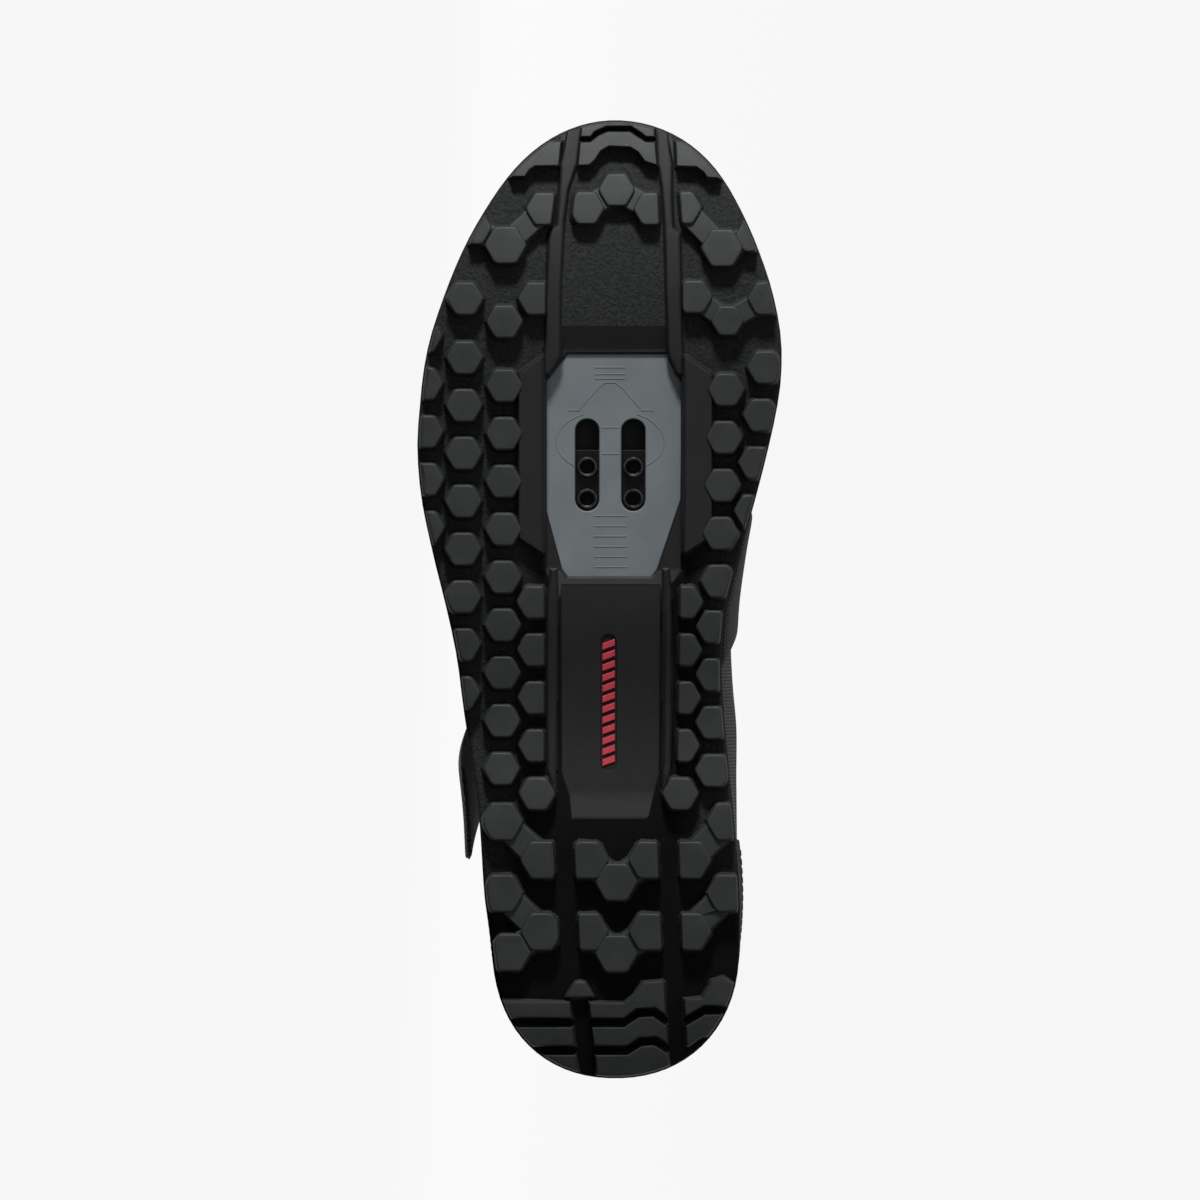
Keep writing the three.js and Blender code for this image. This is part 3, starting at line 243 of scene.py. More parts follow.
# Curves and heights of the shoe
def column(table, k):
    """A smooth curve through column k of a table whose column 0 is the place."""
    at, value = np.array(table, float)[:, [0, k]].T
    last = len(at) - 1
    before, after = np.maximum(np.arange(last + 1) - 1, 0), np.minimum(np.arange(last + 1) + 1, last)
    slope = (value[after] - value[before]) / (at[after] - at[before])

    def curve(share):
        i = np.clip(np.searchsorted(at, share, side="right") - 1, 0, last - 1)
        step = at[i + 1] - at[i]
        t = np.clip((share - at[i]) / step, 0, 1)
        rest = 1 - t
        return (
            value[i] * rest * rest * (1 + 2 * t) + value[i + 1] * t * t * (1 + 2 * rest)
            + step * t * rest * (slope[i] * rest - slope[i + 1] * t)
        )

    return curve


def unit(vectors):
    return vectors / np.linalg.norm(vectors, axis=-1, keepdims=True)


def lengths_along(path):
    """Distance from the start of a path to each of its points."""
    return np.concatenate([[0], np.cumsum(np.linalg.norm(np.diff(path, axis=0), axis=1))])


def smooth(low, high, value):
    t = np.clip((value - low) / (high - low), 0, 1)
    return t * t * (3 - 2 * t)


outline_at = {-1: column(OUTLINE, 1), 1: column(OUTLINE, 2)}
stack_at = column(STACK, 1)


def ground(x):
    """Height of the lug tips: toe spring, raised arch and bevelled heel."""
    share = x / SHOE_LENGTH
    toe = TOE_SPRING * np.clip((share - TOE_SPRING_START) / (1 - TOE_SPRING_START), 0, 1.1) ** 2
    heel = HEEL_BEVEL * np.clip((HEEL_BEVEL_END - share) / HEEL_BEVEL_END, 0, 1.1) ** 2
    arch = ARCH_RISE * np.sin(np.pi * np.clip((share - ARCH_START) / ARCH_SPAN, 0, 1)) ** 2
    return toe + heel + arch


def feather_height(x):
    return ground(x) + stack_at(x / SHOE_LENGTH) * SOLE_BASE


def lip_top(x):
    return feather_height(x) + LIP_HEIGHT


def rim_rise(x):
    """Height of the outsole's rim above the lug tips."""
    share = x / SHOE_LENGTH
    toe = TOE_RIM_RISE * smooth(0.8, 1, share)
    heel = HEEL_RIM_RISE * (1 - smooth(0, 0.22, share))
    return SOLE_BASE + RIM_RISE + toe + heel


def end_factor(share):
    """How much the two round ends of the outline narrow it."""
    toe = np.clip((share - 1) * SHOE_LENGTH / TOE_ROUNDING + 1, 0, 1)
    heel = np.clip(1 - share * SHOE_LENGTH / HEEL_ROUNDING, 0, 1)
    return np.sqrt(1 - toe * toe) * (1 - heel ** 2.15) ** (1 / 2.15)


def sole_ring(inset, stations=72):
    """Plan outline of the sole, moved inwards, as an array of (x, y)."""
    k = np.arange(stations)
    share = (1 - np.cos(np.pi * (k + 0.5) / stations)) / 2
    x = inset + share * (SHOE_LENGTH - 2 * inset)
    half = {side: (outline_at[side](share) * BALL_WIDTH - inset) * end_factor(share) for side in (-1, 1)}
    medial = np.stack([x, half[1]], 1)
    lateral = np.stack([x, -half[-1]], 1)[::-1]
    return np.concatenate([medial, lateral])


def plan(shares):
    return np.array(shares, float) * (SHOE_LENGTH, BALL_WIDTH)


# From the shoe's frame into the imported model's
def shoe_to_model():
    """The turn and the shift, from the joint's axis and the cleat mount."""
    toe = Vector(frame["joints"][0]["axis"]).normalized()
    mount = next(m for m in frame["record"]["mounts"] if m["name"] == "cleat_face")
    up = -Vector(mount["axis"])
    up = (up - toe * up.dot(toe)).normalized()
    inner = up.cross(toe)
    turn = Matrix((toe, inner, up)).transposed()
    shift = Vector(mount["pos_m"]) - turn @ (Vector(CLEAT_FACE) / 1000)
    return np.array(turn), np.array(shift)


TURN, SHIFT = shoe_to_model()


def place(points):
    """Points in shoe millimetres as points in the model's frame, in metres."""
    return np.asarray(points, float) / 1000 @ TURN.T + SHIFT


# Meshes
def new_object(name, vertices, faces, materials=(), slots=None, smooth_angle=32):
    mesh = bpy.data.meshes.new(name)
    mesh.from_pydata([tuple(v) for v in vertices], [], [tuple(f) for f in faces])
    for material in materials:
        mesh.materials.append(material)
    if slots is not None:
        mesh.polygons.foreach_set("material_index", slots)
    obj = bpy.data.objects.new(name, mesh)
    bpy.context.scene.collection.objects.link(obj)
    soften(mesh, smooth_angle)
    return obj


def soften(mesh, angle):
    mesh.shade_smooth()
    mesh.set_sharp_from_angle(angle=math.radians(angle))


def evaluated(obj):
    """Gives the object the mesh that its modifiers make, and removes them."""
    graph = bpy.context.evaluated_depsgraph_get()
    mesh = bpy.data.meshes.new_from_object(obj.evaluated_get(graph))
    old = obj.data
    obj.modifiers.clear()
    obj.data = mesh
    bpy.data.meshes.remove(old)


def combine(obj, tool, operation):
    """Boolean of two closed solids. The tool is used up."""
    change = obj.modifiers.new("combine", "BOOLEAN")
    change.operation = operation
    change.solver = "MANIFOLD"
    change.object = tool
    evaluated(obj)
    bpy.data.objects.remove(tool)


def loft(rings, strips=False):
    """Vertices and faces of a closed solid through rings of equally many points.

    With strips, its ends are strips across the sole, so that they follow the height of their ring.
    """
    count = len(rings[0])
    faces = []
    for i in range(len(rings) - 1):
        for j in range(count):
            a, b = i * count + j, i * count + (j + 1) % count
            faces.append((a, b, b + count, a + count))
    last = (len(rings) - 1) * count
    if strips:
        for start in (0, last):
            for k in range(count // 2 - 1):
                faces.append((start + k, start + k + 1, start + count - 2 - k, start + count - 1 - k))
    else:
        faces.append(tuple(range(count))[::-1])
        faces.append(tuple(range(last, last + count)))
    return np.concatenate(rings), faces


def solid(name, parts, strips=False):
    """One object from several closed lofts, each given as its rings, wound outwards."""
    vertices, faces, start = [], [], 0
    for rings in parts:
        points, sides = loft(rings, strips)
        vertices.append(points)
        faces += [tuple(start + k for k in face) for face in sides]
        start += len(points)
    obj = new_object(name, np.concatenate(vertices), faces)
    shell = bmesh.new()
    shell.from_mesh(obj.data)
    bmesh.ops.recalc_face_normals(shell, faces=shell.faces)
    shell.to_mesh(obj.data)
    shell.free()
    return obj


def stacked(outline, *levels):
    """Rings of an outline, for each level moved outwards by its first number to its height."""
    return [at_height(widened(outline, out), z) for out, z in levels]


def at_height(outline, z):
    outline = np.asarray(outline)
    return np.column_stack([outline, np.broadcast_to(z, len(outline))])


# Plan outlines
def area(outline):
    x, y = np.asarray(outline).T
    return 0.5 * np.sum(x * np.roll(y, -1) - np.roll(x, -1) * y)


def wound(outline):
    """The same outline, counter-clockwise."""
    return outline if area(outline) > 0 else outline[::-1]


def widened(outline, distance):
    """A counter-clockwise outline moved outwards, with mitred corners."""
    a = unit(outline - np.roll(outline, 1, 0))
    b = unit(np.roll(outline, -1, 0) - outline)
    normal = unit(np.stack([a[:, 1] + b[:, 1], -a[:, 0] - b[:, 0]], 1))
    stretch = 1 / np.maximum(0.5, normal[:, 0] * a[:, 1] - normal[:, 1] * a[:, 0])
    return outline + normal * (distance * stretch)[:, None]


def clip(outline, origin, inwards):
    """The part of an outline on the inner side of a line."""
    kept = []
    depth = (outline - origin) @ inwards
    for k in range(len(outline)):
        p, q, dp, dq = outline[k - 1], outline[k], depth[k - 1], depth[k]
        if dp * dq < 0:
            kept.append(p + (q - p) * dp / (dp - dq))
        if dq >= 0:
            kept.append(q)
    return np.array(kept)


def cleaned(outline, least=0.25):
    """Drops points that lie almost on their neighbour."""
    kept = [p for k, p in enumerate(outline) if np.linalg.norm(p - outline[k - 1]) > least]
    return np.array(kept)


EDGE = sole_ring(LUG_EDGE_INSET)
ROOT_EDGE = sole_ring(0.5)


def edge_lines(near):
    """Clip lines of the sole's edge beside an outline: places and inward directions."""
    low, high = near.min(0) - 3, near.max(0) + 3
    step = np.roll(EDGE, -1, 0) - EDGE
    middle = EDGE + step / 2
    inwards = np.stack([step[:, 1], -step[:, 0]], 1)
    close = np.all((middle > low) & (middle < high), axis=1)
    return zip(middle[close], inwards[close])


def within_edge(outline):
    for origin, inwards in edge_lines(outline):
        outline = clip(outline, origin, inwards)
        if len(outline) < 3:
            return outline
    return cleaned(outline)


def pulled_in(points):
    """Moves points that lie outside the sole's edge onto it."""
    start, end = ROOT_EDGE, np.roll(ROOT_EDGE, -1, 0)
    step = end - start
    offset = points[:, None] - start
    share = np.clip((offset * step).sum(2) / (step * step).sum(1), 0, 1)
    nearest = start + share[..., None] * step
    gap = np.linalg.norm(points[:, None] - nearest, axis=2)
    best = gap.argmin(1)
    rows = np.arange(len(points))
    side = step[best, 0] * offset[rows, best, 1] - step[best, 1] * offset[rows, best, 0]
    return np.where((side > 0)[:, None], nearest[rows, best], points)


def beside(outline, left, right):
    """The parts of an outline on the two sides of a channel with two straight edges."""
    parts = []
    for (p, q), sign in ((left, -1), (right, 1)):
        along = q - p
        parts.append(clip(outline, p, sign * np.array([-along[1], along[0]])))
    return [part for part in parts if len(part) > 2 and abs(area(part)) > 1.0]


def channelled(outline, channels):
    """Splits a lug where a channel runs through it."""
    parts = [outline]
    for channel in channels:
        at = np.array([row[0] for row in channel]) * SHOE_LENGTH
        x = outline[:, 0].mean()
        if not at[0] < x < at[-1]:
            continue
        i = min(np.searchsorted(at, x) - 1, len(at) - 2)
        left, right = (plan([(channel[k][0], channel[k][c]) for k in (i, i + 1)]) for c in (1, 2))
        parts = [piece for part in parts for piece in beside(part, left, right)]
    return parts


def hexagon(along, across, flats):
    angle = np.pi / 3 * np.arange(6) + np.pi / 2
    turned = np.stack([np.cos(angle), np.sin(angle)], 1)
    return plan([(along, across)]) + flats / math.sqrt(3) * turned


def half_width(line, width):
    """From each point of a plan line to the left edge of a strip along it."""
    ahead = unit(np.gradient(line, axis=0))
    return np.stack([-ahead[:, 1], ahead[:, 0]], 1) * width / 2


def strip(line, width):
    """A strip of constant width along a line of plan points."""
    aside = half_width(line, width)
    return np.concatenate([line - aside, (line + aside)[::-1]])


# Rounded top edge, drafted wall and fillet of a lug: (outset, share of its height from the tip)
LUG_PROFILE = [(-0.62, 0.0), (-0.27, 0.07), (-0.08, 0.23), (0.03, 0.5)]


def lug_rings(outline, drop=0.0, edge=1.0, root=LUG_HEIGHT + TREAD_BASE / 2):
    """Rings of one lug from its tip up into the base, on the flat sole."""
    outline = wound(outline)
    rings = [at_height(pulled_in(widened(outline, edge * out)), drop + z) for out, z in LUG_PROFILE]
    wall = LUG_HEIGHT - drop
    for out, z in ((0.75 * LUG_DRAFT, drop + 0.82 * wall), (1.3 * LUG_DRAFT, LUG_HEIGHT + 0.05)):
        rings.append(at_height(pulled_in(widened(outline, out)), z))
    rings.append(at_height(pulled_in(widened(outline, 0.8 * LUG_DRAFT)), root))
    return rings


def lug_group(name, outlines, drop=0.0, channels=(MIDDLE_CHANNEL, *ZIGZAG_CHANNELS), corner=0.9):
    parts = []
    for outline in outlines:
        for piece in channelled(np.asarray(outline, float), channels):
            piece = within_edge(piece if area(piece) < 0 else piece[::-1])
            if len(piece) > 2 and abs(area(piece)) > 2.0:
                if corner:
                    parts.append(lug_rings(rounded(piece, corner, 3), drop))
                else:
                    parts.append(lug_rings(piece, drop, 0.65))
    return solid(name, parts)


def zigzag(row, start=0.0):
    """Hexagons of a row, and the strips of the webs between neighbours."""
    placed = [(along + start, across, flats) for along, across, flats in row]
    webs = [
        strip(plan([a[:2], b[:2]]), 0.72 * min(a[2], b[2])) for a, b in zip(placed, placed[1:])
    ]
    return [hexagon(*hexagon_row) for hexagon_row in placed], webs


def between(low, high, left, right):
    """Outline between two lines that run across the sole, cut at two lines along it."""
    outline = np.concatenate([low, high[::-1]])
    for (p, q), sign in ((left, 1), (right, -1)):
        along = q - p
        outline = clip(outline, p, sign * np.array([-along[1], along[0]]))
    return outline


def pad_outlines(lines, channels):
    """Blocks of a pad: rows between lines across it, and columns between channels along it."""
    far = plan([(-0.1, -0.6), (1.1, -0.6)]), plan([(-0.1, 0.6), (1.1, 0.6)])
    sides = [far[0], *[edge for channel in channels for edge in channel], far[1]]
    outlines = []
    for low, high in lines:
        for left, right in zip(sides[::2], sides[1::2]):
            outline = between(low, high, left, right)
            if len(outline) > 2:
                outlines.append(outline)
    return outlines


# Materials
def tone(r, g, b):
    """A colour given as it looks on a screen, 0 to 255, in linear light."""
    return tuple(((c / 255 + 0.055) / 1.055) ** 2.4 if c > 10 else c / 3295 for c in (r, g, b)) + (1,)


class Finish:
    """A Principled material whose colour, roughness and bump are made by nodes."""

    def __init__(self, name, roughness=0.5, **sockets):
        self.material = bpy.data.materials.new(name)
        self.material.use_nodes = True
        self.tree = self.material.node_tree
        self.shader = self.tree.nodes["Principled BSDF"]
        self.shader.inputs["Roughness"].default_value = roughness
        for socket, value in sockets.items():
            self.shader.inputs[socket.replace("_", " ")].default_value = value
        self.bumps = []

    def add(self, kind, output=0, links=None, inputs=None, **settings):
        node = self.tree.nodes.new("ShaderNode" + kind)
        for key, value in settings.items():
            setattr(node, key, value)
        for socket, value in (inputs or {}).items():
            node.inputs[socket].default_value = value
        for socket, source in (links or {}).items():
            self.tree.links.new(source, node.inputs[socket])
        return node.outputs[output]

    def where(self, scale=(1, 1, 1)):
        """Object coordinates in millimetres, stretched by a scale."""
        coordinates = self.add("TexCoord", "Object")
        return self.add("Mapping", 0, {"Vector": coordinates}, {"Scale": [1000 * s for s in scale]})

    def on_cloth(self, scale=(1, 1, 1)):
        """Millimetres along and across the cloth."""
        coordinates = self.add("UVMap", 0, uv_map="cloth")
        return self.add("Mapping", 0, {"Vector": coordinates}, {"Scale": scale})

    def noise(self, size, detail=3.0, roughness=0.55, vector=None):
        vector = self.where() if vector is None else vector
        return self.add(
            "TexNoise", 0, {"Vector": vector},
            {"Scale": 1 / size, "Detail": detail, "Roughness": roughness},
        )

    def cells(self, size, vector=None, feature="F1", randomness=1.0):
        vector = self.where() if vector is None else vector
        return self.add(
            "TexVoronoi", 0, {"Vector": vector}, {"Scale": 1 / size, "Randomness": randomness},
            feature=feature,
        )

    def math(self, operation, a, b=0.0, c=0.0, clamp=False):
        links = {k: v for k, v in enumerate((a, b, c)) if not isinstance(v, (int, float))}
        values = {k: v for k, v in enumerate((a, b, c)) if isinstance(v, (int, float))}
        return self.add("Math", 0, links, values, operation=operation, use_clamp=clamp)

    def ramp(self, value, low, high, to_low=0.0, to_high=1.0):
        return self.add(
            "MapRange", 0, {"Value": value},
            {"From Min": low, "From Max": high, "To Min": to_low, "To Max": to_high}, clamp=True,
        )

    def mix(self, share, a, b):
        node = self.tree.nodes.new("ShaderNodeMix")
        node.data_type = "RGBA"
        for socket, value in ((0, share), (6, a), (7, b)):
            if isinstance(value, (tuple, float)):
                node.inputs[socket].default_value = value
            else:
                self.tree.links.new(value, node.inputs[socket])
        return node.outputs[2]

    def colour(self, value):
        if isinstance(value, tuple):
            self.shader.inputs["Base Color"].default_value = value
        else:
            self.tree.links.new(value, self.shader.inputs["Base Color"])

    def rough(self, value):
        self.tree.links.new(value, self.shader.inputs["Roughness"])

    def sheen(self, weight):
        self.shader.inputs["Sheen Weight"].default_value = weight
        self.shader.inputs["Sheen Roughness"].default_value = 0.5

    def bump(self, height, depth):
        """Adds relief of a depth in millimetres."""
        links = {"Height": height}
        if self.bumps:
            links["Normal"] = self.bumps[-1]
        out = self.add("Bump", 0, links, {"Strength": 1.0, "Distance": depth / 1000})
        self.bumps.append(out)
        self.tree.links.new(out, self.shader.inputs["Normal"])


def rubber_base():
    """Floor between the lugs: pebbled, with painted light making it paler at the toe and the sides, and
    painted shade making it near black at the heel and down the middle.
    """
    f = Finish("base_rubber", 0.68, Specular_IOR_Level=0.1)
    coarse = f.noise(1.0, 2.0, 0.5)
    pebble = f.cells(0.62, feature="SMOOTH_F1")
    along = f.add("SeparateXYZ", 0, {"Vector": f.add("TexCoord", "Object")})
    middle = place([(SHOE_LENGTH / 2, 0, 0)])[0][2]
    across = f.add("SeparateXYZ", 2, {"Vector": f.add("TexCoord", "Object")})
    aside = f.math("ABSOLUTE", f.math("SUBTRACT", across, float(middle)))
    # Painted light: the floor near the sides, away from the heel, is coloured paler.
    painted_light_sides_mask = f.math("MULTIPLY", f.ramp(aside, 0.022, 0.03), f.ramp(along, -0.1, -0.07))
    painted_light_and_pebble_mask = f.math("MAXIMUM", f.ramp(along, 0.055, 0.075), painted_light_sides_mask)
    # dark is painted shade for the heel and the middle; light is painted light for the toe and the sides,
    # which also get the stronger pebbles.
    dark = f.mix(f.ramp(coarse, 0.35, 0.7), tone(3, 3, 3), tone(7, 7, 7))
    light = f.mix(f.ramp(coarse, 0.35, 0.7), tone(30, 31, 31), tone(43, 44, 44))
    f.colour(f.mix(painted_light_and_pebble_mask, dark, light))
    f.bump(f.math("MULTIPLY", coarse, f.ramp(painted_light_and_pebble_mask, 0.0, 1.0, 0.12, 1.0)), 0.3)
    f.bump(f.math("MULTIPLY", pebble, f.ramp(painted_light_and_pebble_mask, 0.0, 1.0, 0.2, 1.0)), 0.13)
    f.bump(f.noise(0.35, 2.0), 0.04)
    return f.material


def grained(name, roughness, dark, pale, cloud, grain=None, rough=None, relief=0.04,
            spread=(0.3, 0.7), **sockets):
    """A plain surface: clouded between two tones, with a fine grain in its relief.

    cloud and grain are a noise's size, detail and roughness. rough is the span of the roughness.
    """
    f = Finish(name, roughness, **sockets)
    clouds = f.noise(*cloud)
    fine = f.noise(*grain) if grain else clouds
    f.colour(f.mix(f.ramp(clouds, *spread), tone(*dark), tone(*pale)))
    if rough:
        f.rough(f.ramp(fine, 0.3, 0.7, *rough))
    f.bump(fine, relief)
    return f.material


def sole_materials():
    """Floor, lugs, smooth parts, the arch recess and its bars."""
    return (
        rubber_base(),
        grained("lug_rubber", 0.6, (33, 35, 35), (41, 43, 43), (9.0, 4.0), (0.28, 3.0, 0.6),
                (0.52, 0.68), 0.035, (0.35, 0.65), Specular_IOR_Level=0.4),
        grained("smooth_rubber", 0.6, (19, 19, 20), (25, 25, 26), (11.0, 3.0), (0.3, 3.0, 0.6),
                (0.55, 0.7), Specular_IOR_Level=0.3),
        grained("recess_rubber", 0.7, (12, 12, 13), (18, 18, 19), (0.5,), (0.4,), Specular_IOR_Level=0.3),
        grained("mark_paint", 0.5, (178, 44, 62), (198, 58, 76), (0.5,), (0.3,), relief=0.03,
                Specular_IOR_Level=0.4),
    )


def moulded_nylon():
    return grained("plate_nylon", 0.45, (101, 108, 111), (110, 117, 120), (14.0, 3.0), (0.3, 3.0),
                   (0.4, 0.55), 0.02, Specular_IOR_Level=0.45)


def dark_steel():
    return grained("barrel_steel", 0.35, (66, 66, 66), (92, 92, 92), (1.2, 3.0), rough=(0.28, 0.42),
                   relief=0.01, spread=(0.35, 0.75), Metallic=1.0)


# Near-black metal for the eyelet rims and the nut plate; on the nut plate this near black is partly its
# black finish and partly painted shade in the slots it shows through.
def black_oxide(name="black_oxide", roughness=0.5):
    return grained(name, roughness, (5, 5, 5), (10, 10, 10), (1.5, 3.0), relief=0.01,
                   spread=(0.35, 0.75), Metallic=0.6)


# The cleat fitting
def rounded(outline, radius, points=5):
    """An outline with its corners cut round."""
    kept = []
    for k, corner in enumerate(outline):
        before, after = outline[k - 1], outline[(k + 1) % len(outline)]
        a = before - corner
        b = after - corner
        reach = min(radius, 0.45 * np.linalg.norm(a), 0.45 * np.linalg.norm(b))
        a, b = (corner + v / np.linalg.norm(v) * reach for v in (a, b))
        for t in np.linspace(0, 1, points):
            kept.append((1 - t) ** 2 * a + 2 * t * (1 - t) * corner + t * t * b)
    return np.array(kept)


def raised_line(points, width=0.42, height=0.13):
    """A low rib on the face of the plate, along a line in the plan."""
    points = np.array(points, float)
    face = SOLE_BASE + CLEARANCE
    rings = []
    for at, off in zip(points, half_width(points, width)):
        rings.append(np.array([
            (*(at - off), face + 0.3), (*(at - off), face), (*(at - 0.6 * off), face - height),
            (*(at + 0.6 * off), face - height), (*(at + off), face), (*(at + off), face + 0.3),
        ]))
    return rings


def make_cleat_plate():
    """Moulded plate with two slots, chamfered at their rims, and raised lines."""
    outline = rounded(widened(wound(band_outline(WINDOW)), PLATE_FLANGE), PLATE_CORNER)
    low = SOLE_BASE + CLEARANCE
    high = low + PLATE_THICKNESS
    plate = solid("cleat_plate_moulding", [
        stacked(
            outline, (-PLATE_CHAMFER, low), (0, low + PLATE_CHAMFER), (0, high - PLATE_CHAMFER),
            (-PLATE_CHAMFER, high),
        ),
    ])
    middle = np.array((SLOT_MIDDLE, PLATE_MIDDLE))
    lines = [raised_line(np.array(line) + middle) for line in PLATE_LINES]
    combine(plate, solid("lines", lines), "UNION")
    along, deep, wide = PLATE_OVAL
    angle = np.linspace(0, 2 * np.pi, 72, endpoint=False)
    for part in (angle[6:31], angle[42:67]):
        arc = np.stack([along + deep * np.cos(part), wide * np.sin(part)], 1) + middle
        combine(plate, solid("oval", [raised_line(arc)]), "UNION")
    for side in (-1, 1):
        slot = capsule(middle + (0, side * SLOT_SPACING / 2), SLOT_LENGTH, SLOT_WIDTH)
        drill = stacked(slot, (PLATE_CHAMFER, low - 1), (PLATE_CHAMFER, low), (0, low + 0.35), (0, high + 1))
        combine(plate, solid("slot", [drill]), "DIFFERENCE")
    return plate


def make_nut_plate():
    """Steel plate with four threaded barrels that stand in the slots."""
    bottom = SOLE_BASE + CLEARANCE + PLATE_THICKNESS + CLEARANCE
    top = bottom + NUT_PLATE_THICKNESS
    x0, x1 = NUT_REAR - NUT_REACH, NUT_REAR + NUT_ROW_SPACING + NUT_REACH
    half = SLOT_SPACING / 2 + NUT_REACH
    corners = np.array([(x0, -half), (x1, -half), (x1, half), (x0, half)])
    box = rounded(corners + (0, PLATE_MIDDLE), NUT_CORNER)
    plate = solid("nut_plate_steel", [
        stacked(
            box, (-NUT_CHAMFER, bottom), (0, bottom + NUT_CHAMFER), (0, top - NUT_CHAMFER),
            (-NUT_CHAMFER, top),
        ),
    ])
    foot = SOLE_BASE + CLEARANCE + BARREL_RECESS
    angle = np.linspace(0, 2 * np.pi, 40, endpoint=False)
    circle = np.stack([np.cos(angle), np.sin(angle)], 1)
    barrels, bores = [], []
    for row in range(2):
        for side in (-1, 1):
            at = np.array((NUT_REAR + row * NUT_ROW_SPACING, PLATE_MIDDLE + side * SLOT_SPACING / 2))
            barrels.append([
                at_height(at + circle * radius, z) for radius, z in (
                    (BARREL_RADIUS - 0.45, foot), (BARREL_RADIUS - 0.1, foot + 0.12),
                    (BARREL_RADIUS, foot + 0.4), (BARREL_RADIUS, bottom + 0.5),
                )
            ])
            crest, root, z = THREAD_RADIUS - 0.02, THREAD_RADIUS + 0.25, foot + COUNTERSINK
            rim = THREAD_RADIUS + COUNTERSINK
            levels = [(rim, foot - 1), (rim, foot), (crest, z)]
            while z + THREAD_PITCH < top:
                levels += [(root, z + 0.4 * THREAD_PITCH), (crest, z + 0.95 * THREAD_PITCH)]
                z += THREAD_PITCH
            bores.append([at_height(at + circle * radius, z) for radius, z in (*levels, (crest, top + 1))])
    combine(plate, solid("barrels", barrels), "UNION")
    combine(plate, solid("bores", bores), "DIFFERENCE")
    # Barrel tips below the plate take the steel; the plate takes the near-black oxide, which also serves as
    # painted shade where it shows through the slots.
    for face in plate.data.polygons:
        face.material_index = 1 if face.center.z < bottom - 0.1 else 0
    return plate


# The outsole
def sole_tray():
    """Base and rim of the outsole on the flat sole: its underside lies at the lug height."""
    def ring(inset, height):
        outline = sole_ring(inset)
        z = height(outline[:, 0]) if callable(height) else height
        return at_height(outline, z)

    low = LUG_HEIGHT
    top = rim_rise
    return [
        ring(1.5, low), ring(0.95, low + 0.07), ring(0.5, low + 0.32), ring(0.15, low + 0.75),
        ring(0, low + 1.3), ring(0, lambda x: top(x) - 0.5), ring(0.15, lambda x: top(x) - 0.15),
        ring(0.5, top), ring(RIM_WALL - 0.4, top), ring(RIM_WALL, lambda x: top(x) - 0.4),
        ring(RIM_WALL, SOLE_BASE + 0.4), ring(RIM_WALL + 0.4, SOLE_BASE),
    ]


def hollow(rows, depth):
    """A channel in the base between two edges, deepest where a row says 1."""
    low, wall = LUG_HEIGHT - 1, 0.5 * depth
    rings = []
    for along, outer, inner, share in rows:
        roof = LUG_HEIGHT + max(depth * share, 0.01)
        (x, y0), (_, y1) = plan([(along, outer), (along, inner)])
        rings.append(np.array([
            (x, y0 - wall, low), (x, y0, roof), (x, y1, roof), (x, y1 + wall, low),
        ]))
    return rings


def window_cut():
    return stacked(
        wound(band_outline(WINDOW)), (1.6, LUG_HEIGHT - 1), (0.9, LUG_HEIGHT + POCKET_DEPTH),
        (0.15, SOLE_BASE - 0.1), (0, SOLE_BASE + 1),
    )


def flanks(line, width):
    """The rear and the front edge of a strip across the sole."""
    outline = strip(line, width)
    return outline[len(line):][::-1], outline[: len(line)]


def heel_pad():
    channels = []
    for front, rear in HEEL_CHANNELS:
        ends = plan([rear, front])
        outline = strip(ends, HEEL_CHANNEL_WIDTH)
        channels.append((outline[:2], outline[2:][::-1]))
    grooves = [flanks(plan(line), HEEL_GROOVE_WIDTH) for line in HEEL_PAD_GROOVES]
    back = plan([(-0.04, -0.6), (-0.04, 0.6)])
    lines = [
        (grooves[0][1], plan(HEEL_PAD_FRONT)), (grooves[1][1], grooves[0][0]), (back, grooves[1][0]),
    ]
    return pad_outlines(lines, channels)


def toe_pad():
    channels = []
    for channel in ZIGZAG_CHANNELS[2:]:
        channels.append(tuple(plan([(row[0], row[c]) for row in channel[1:]]) for c in (1, 2)))
    rear, front = flanks(plan(TOE_PAD_GROOVE), 0.6 * HEEL_GROOVE_WIDTH)
    tip = plan([(1.04, -0.6), (1.04, 0.6)])
    return pad_outlines([(plan(TOE_PAD_REAR), rear), (front, tip)], channels)


def rail_rings(rail, height=RAIL_HEIGHT):
    """A rail with sloping flanks, lower than the lugs."""
    outline = wound(band_outline(rail))
    drop = LUG_HEIGHT - height
    levels = (
        (-0.75, drop), (-0.2, drop + 0.2 * height), (0.1, drop + 0.6 * height),
        (0.6, LUG_HEIGHT + 0.05), (0.2, 6.5),
    )
    return [at_height(pulled_in(widened(outline, out)), z) for out, z in levels]


# Where the flat tread is cut across and along before it is lifted onto the rocker
ROCKER_START = 2.3
ROCKER_STEP = 4.5
TREAD_LANES = np.arange(-50.3, 50, 7.9)


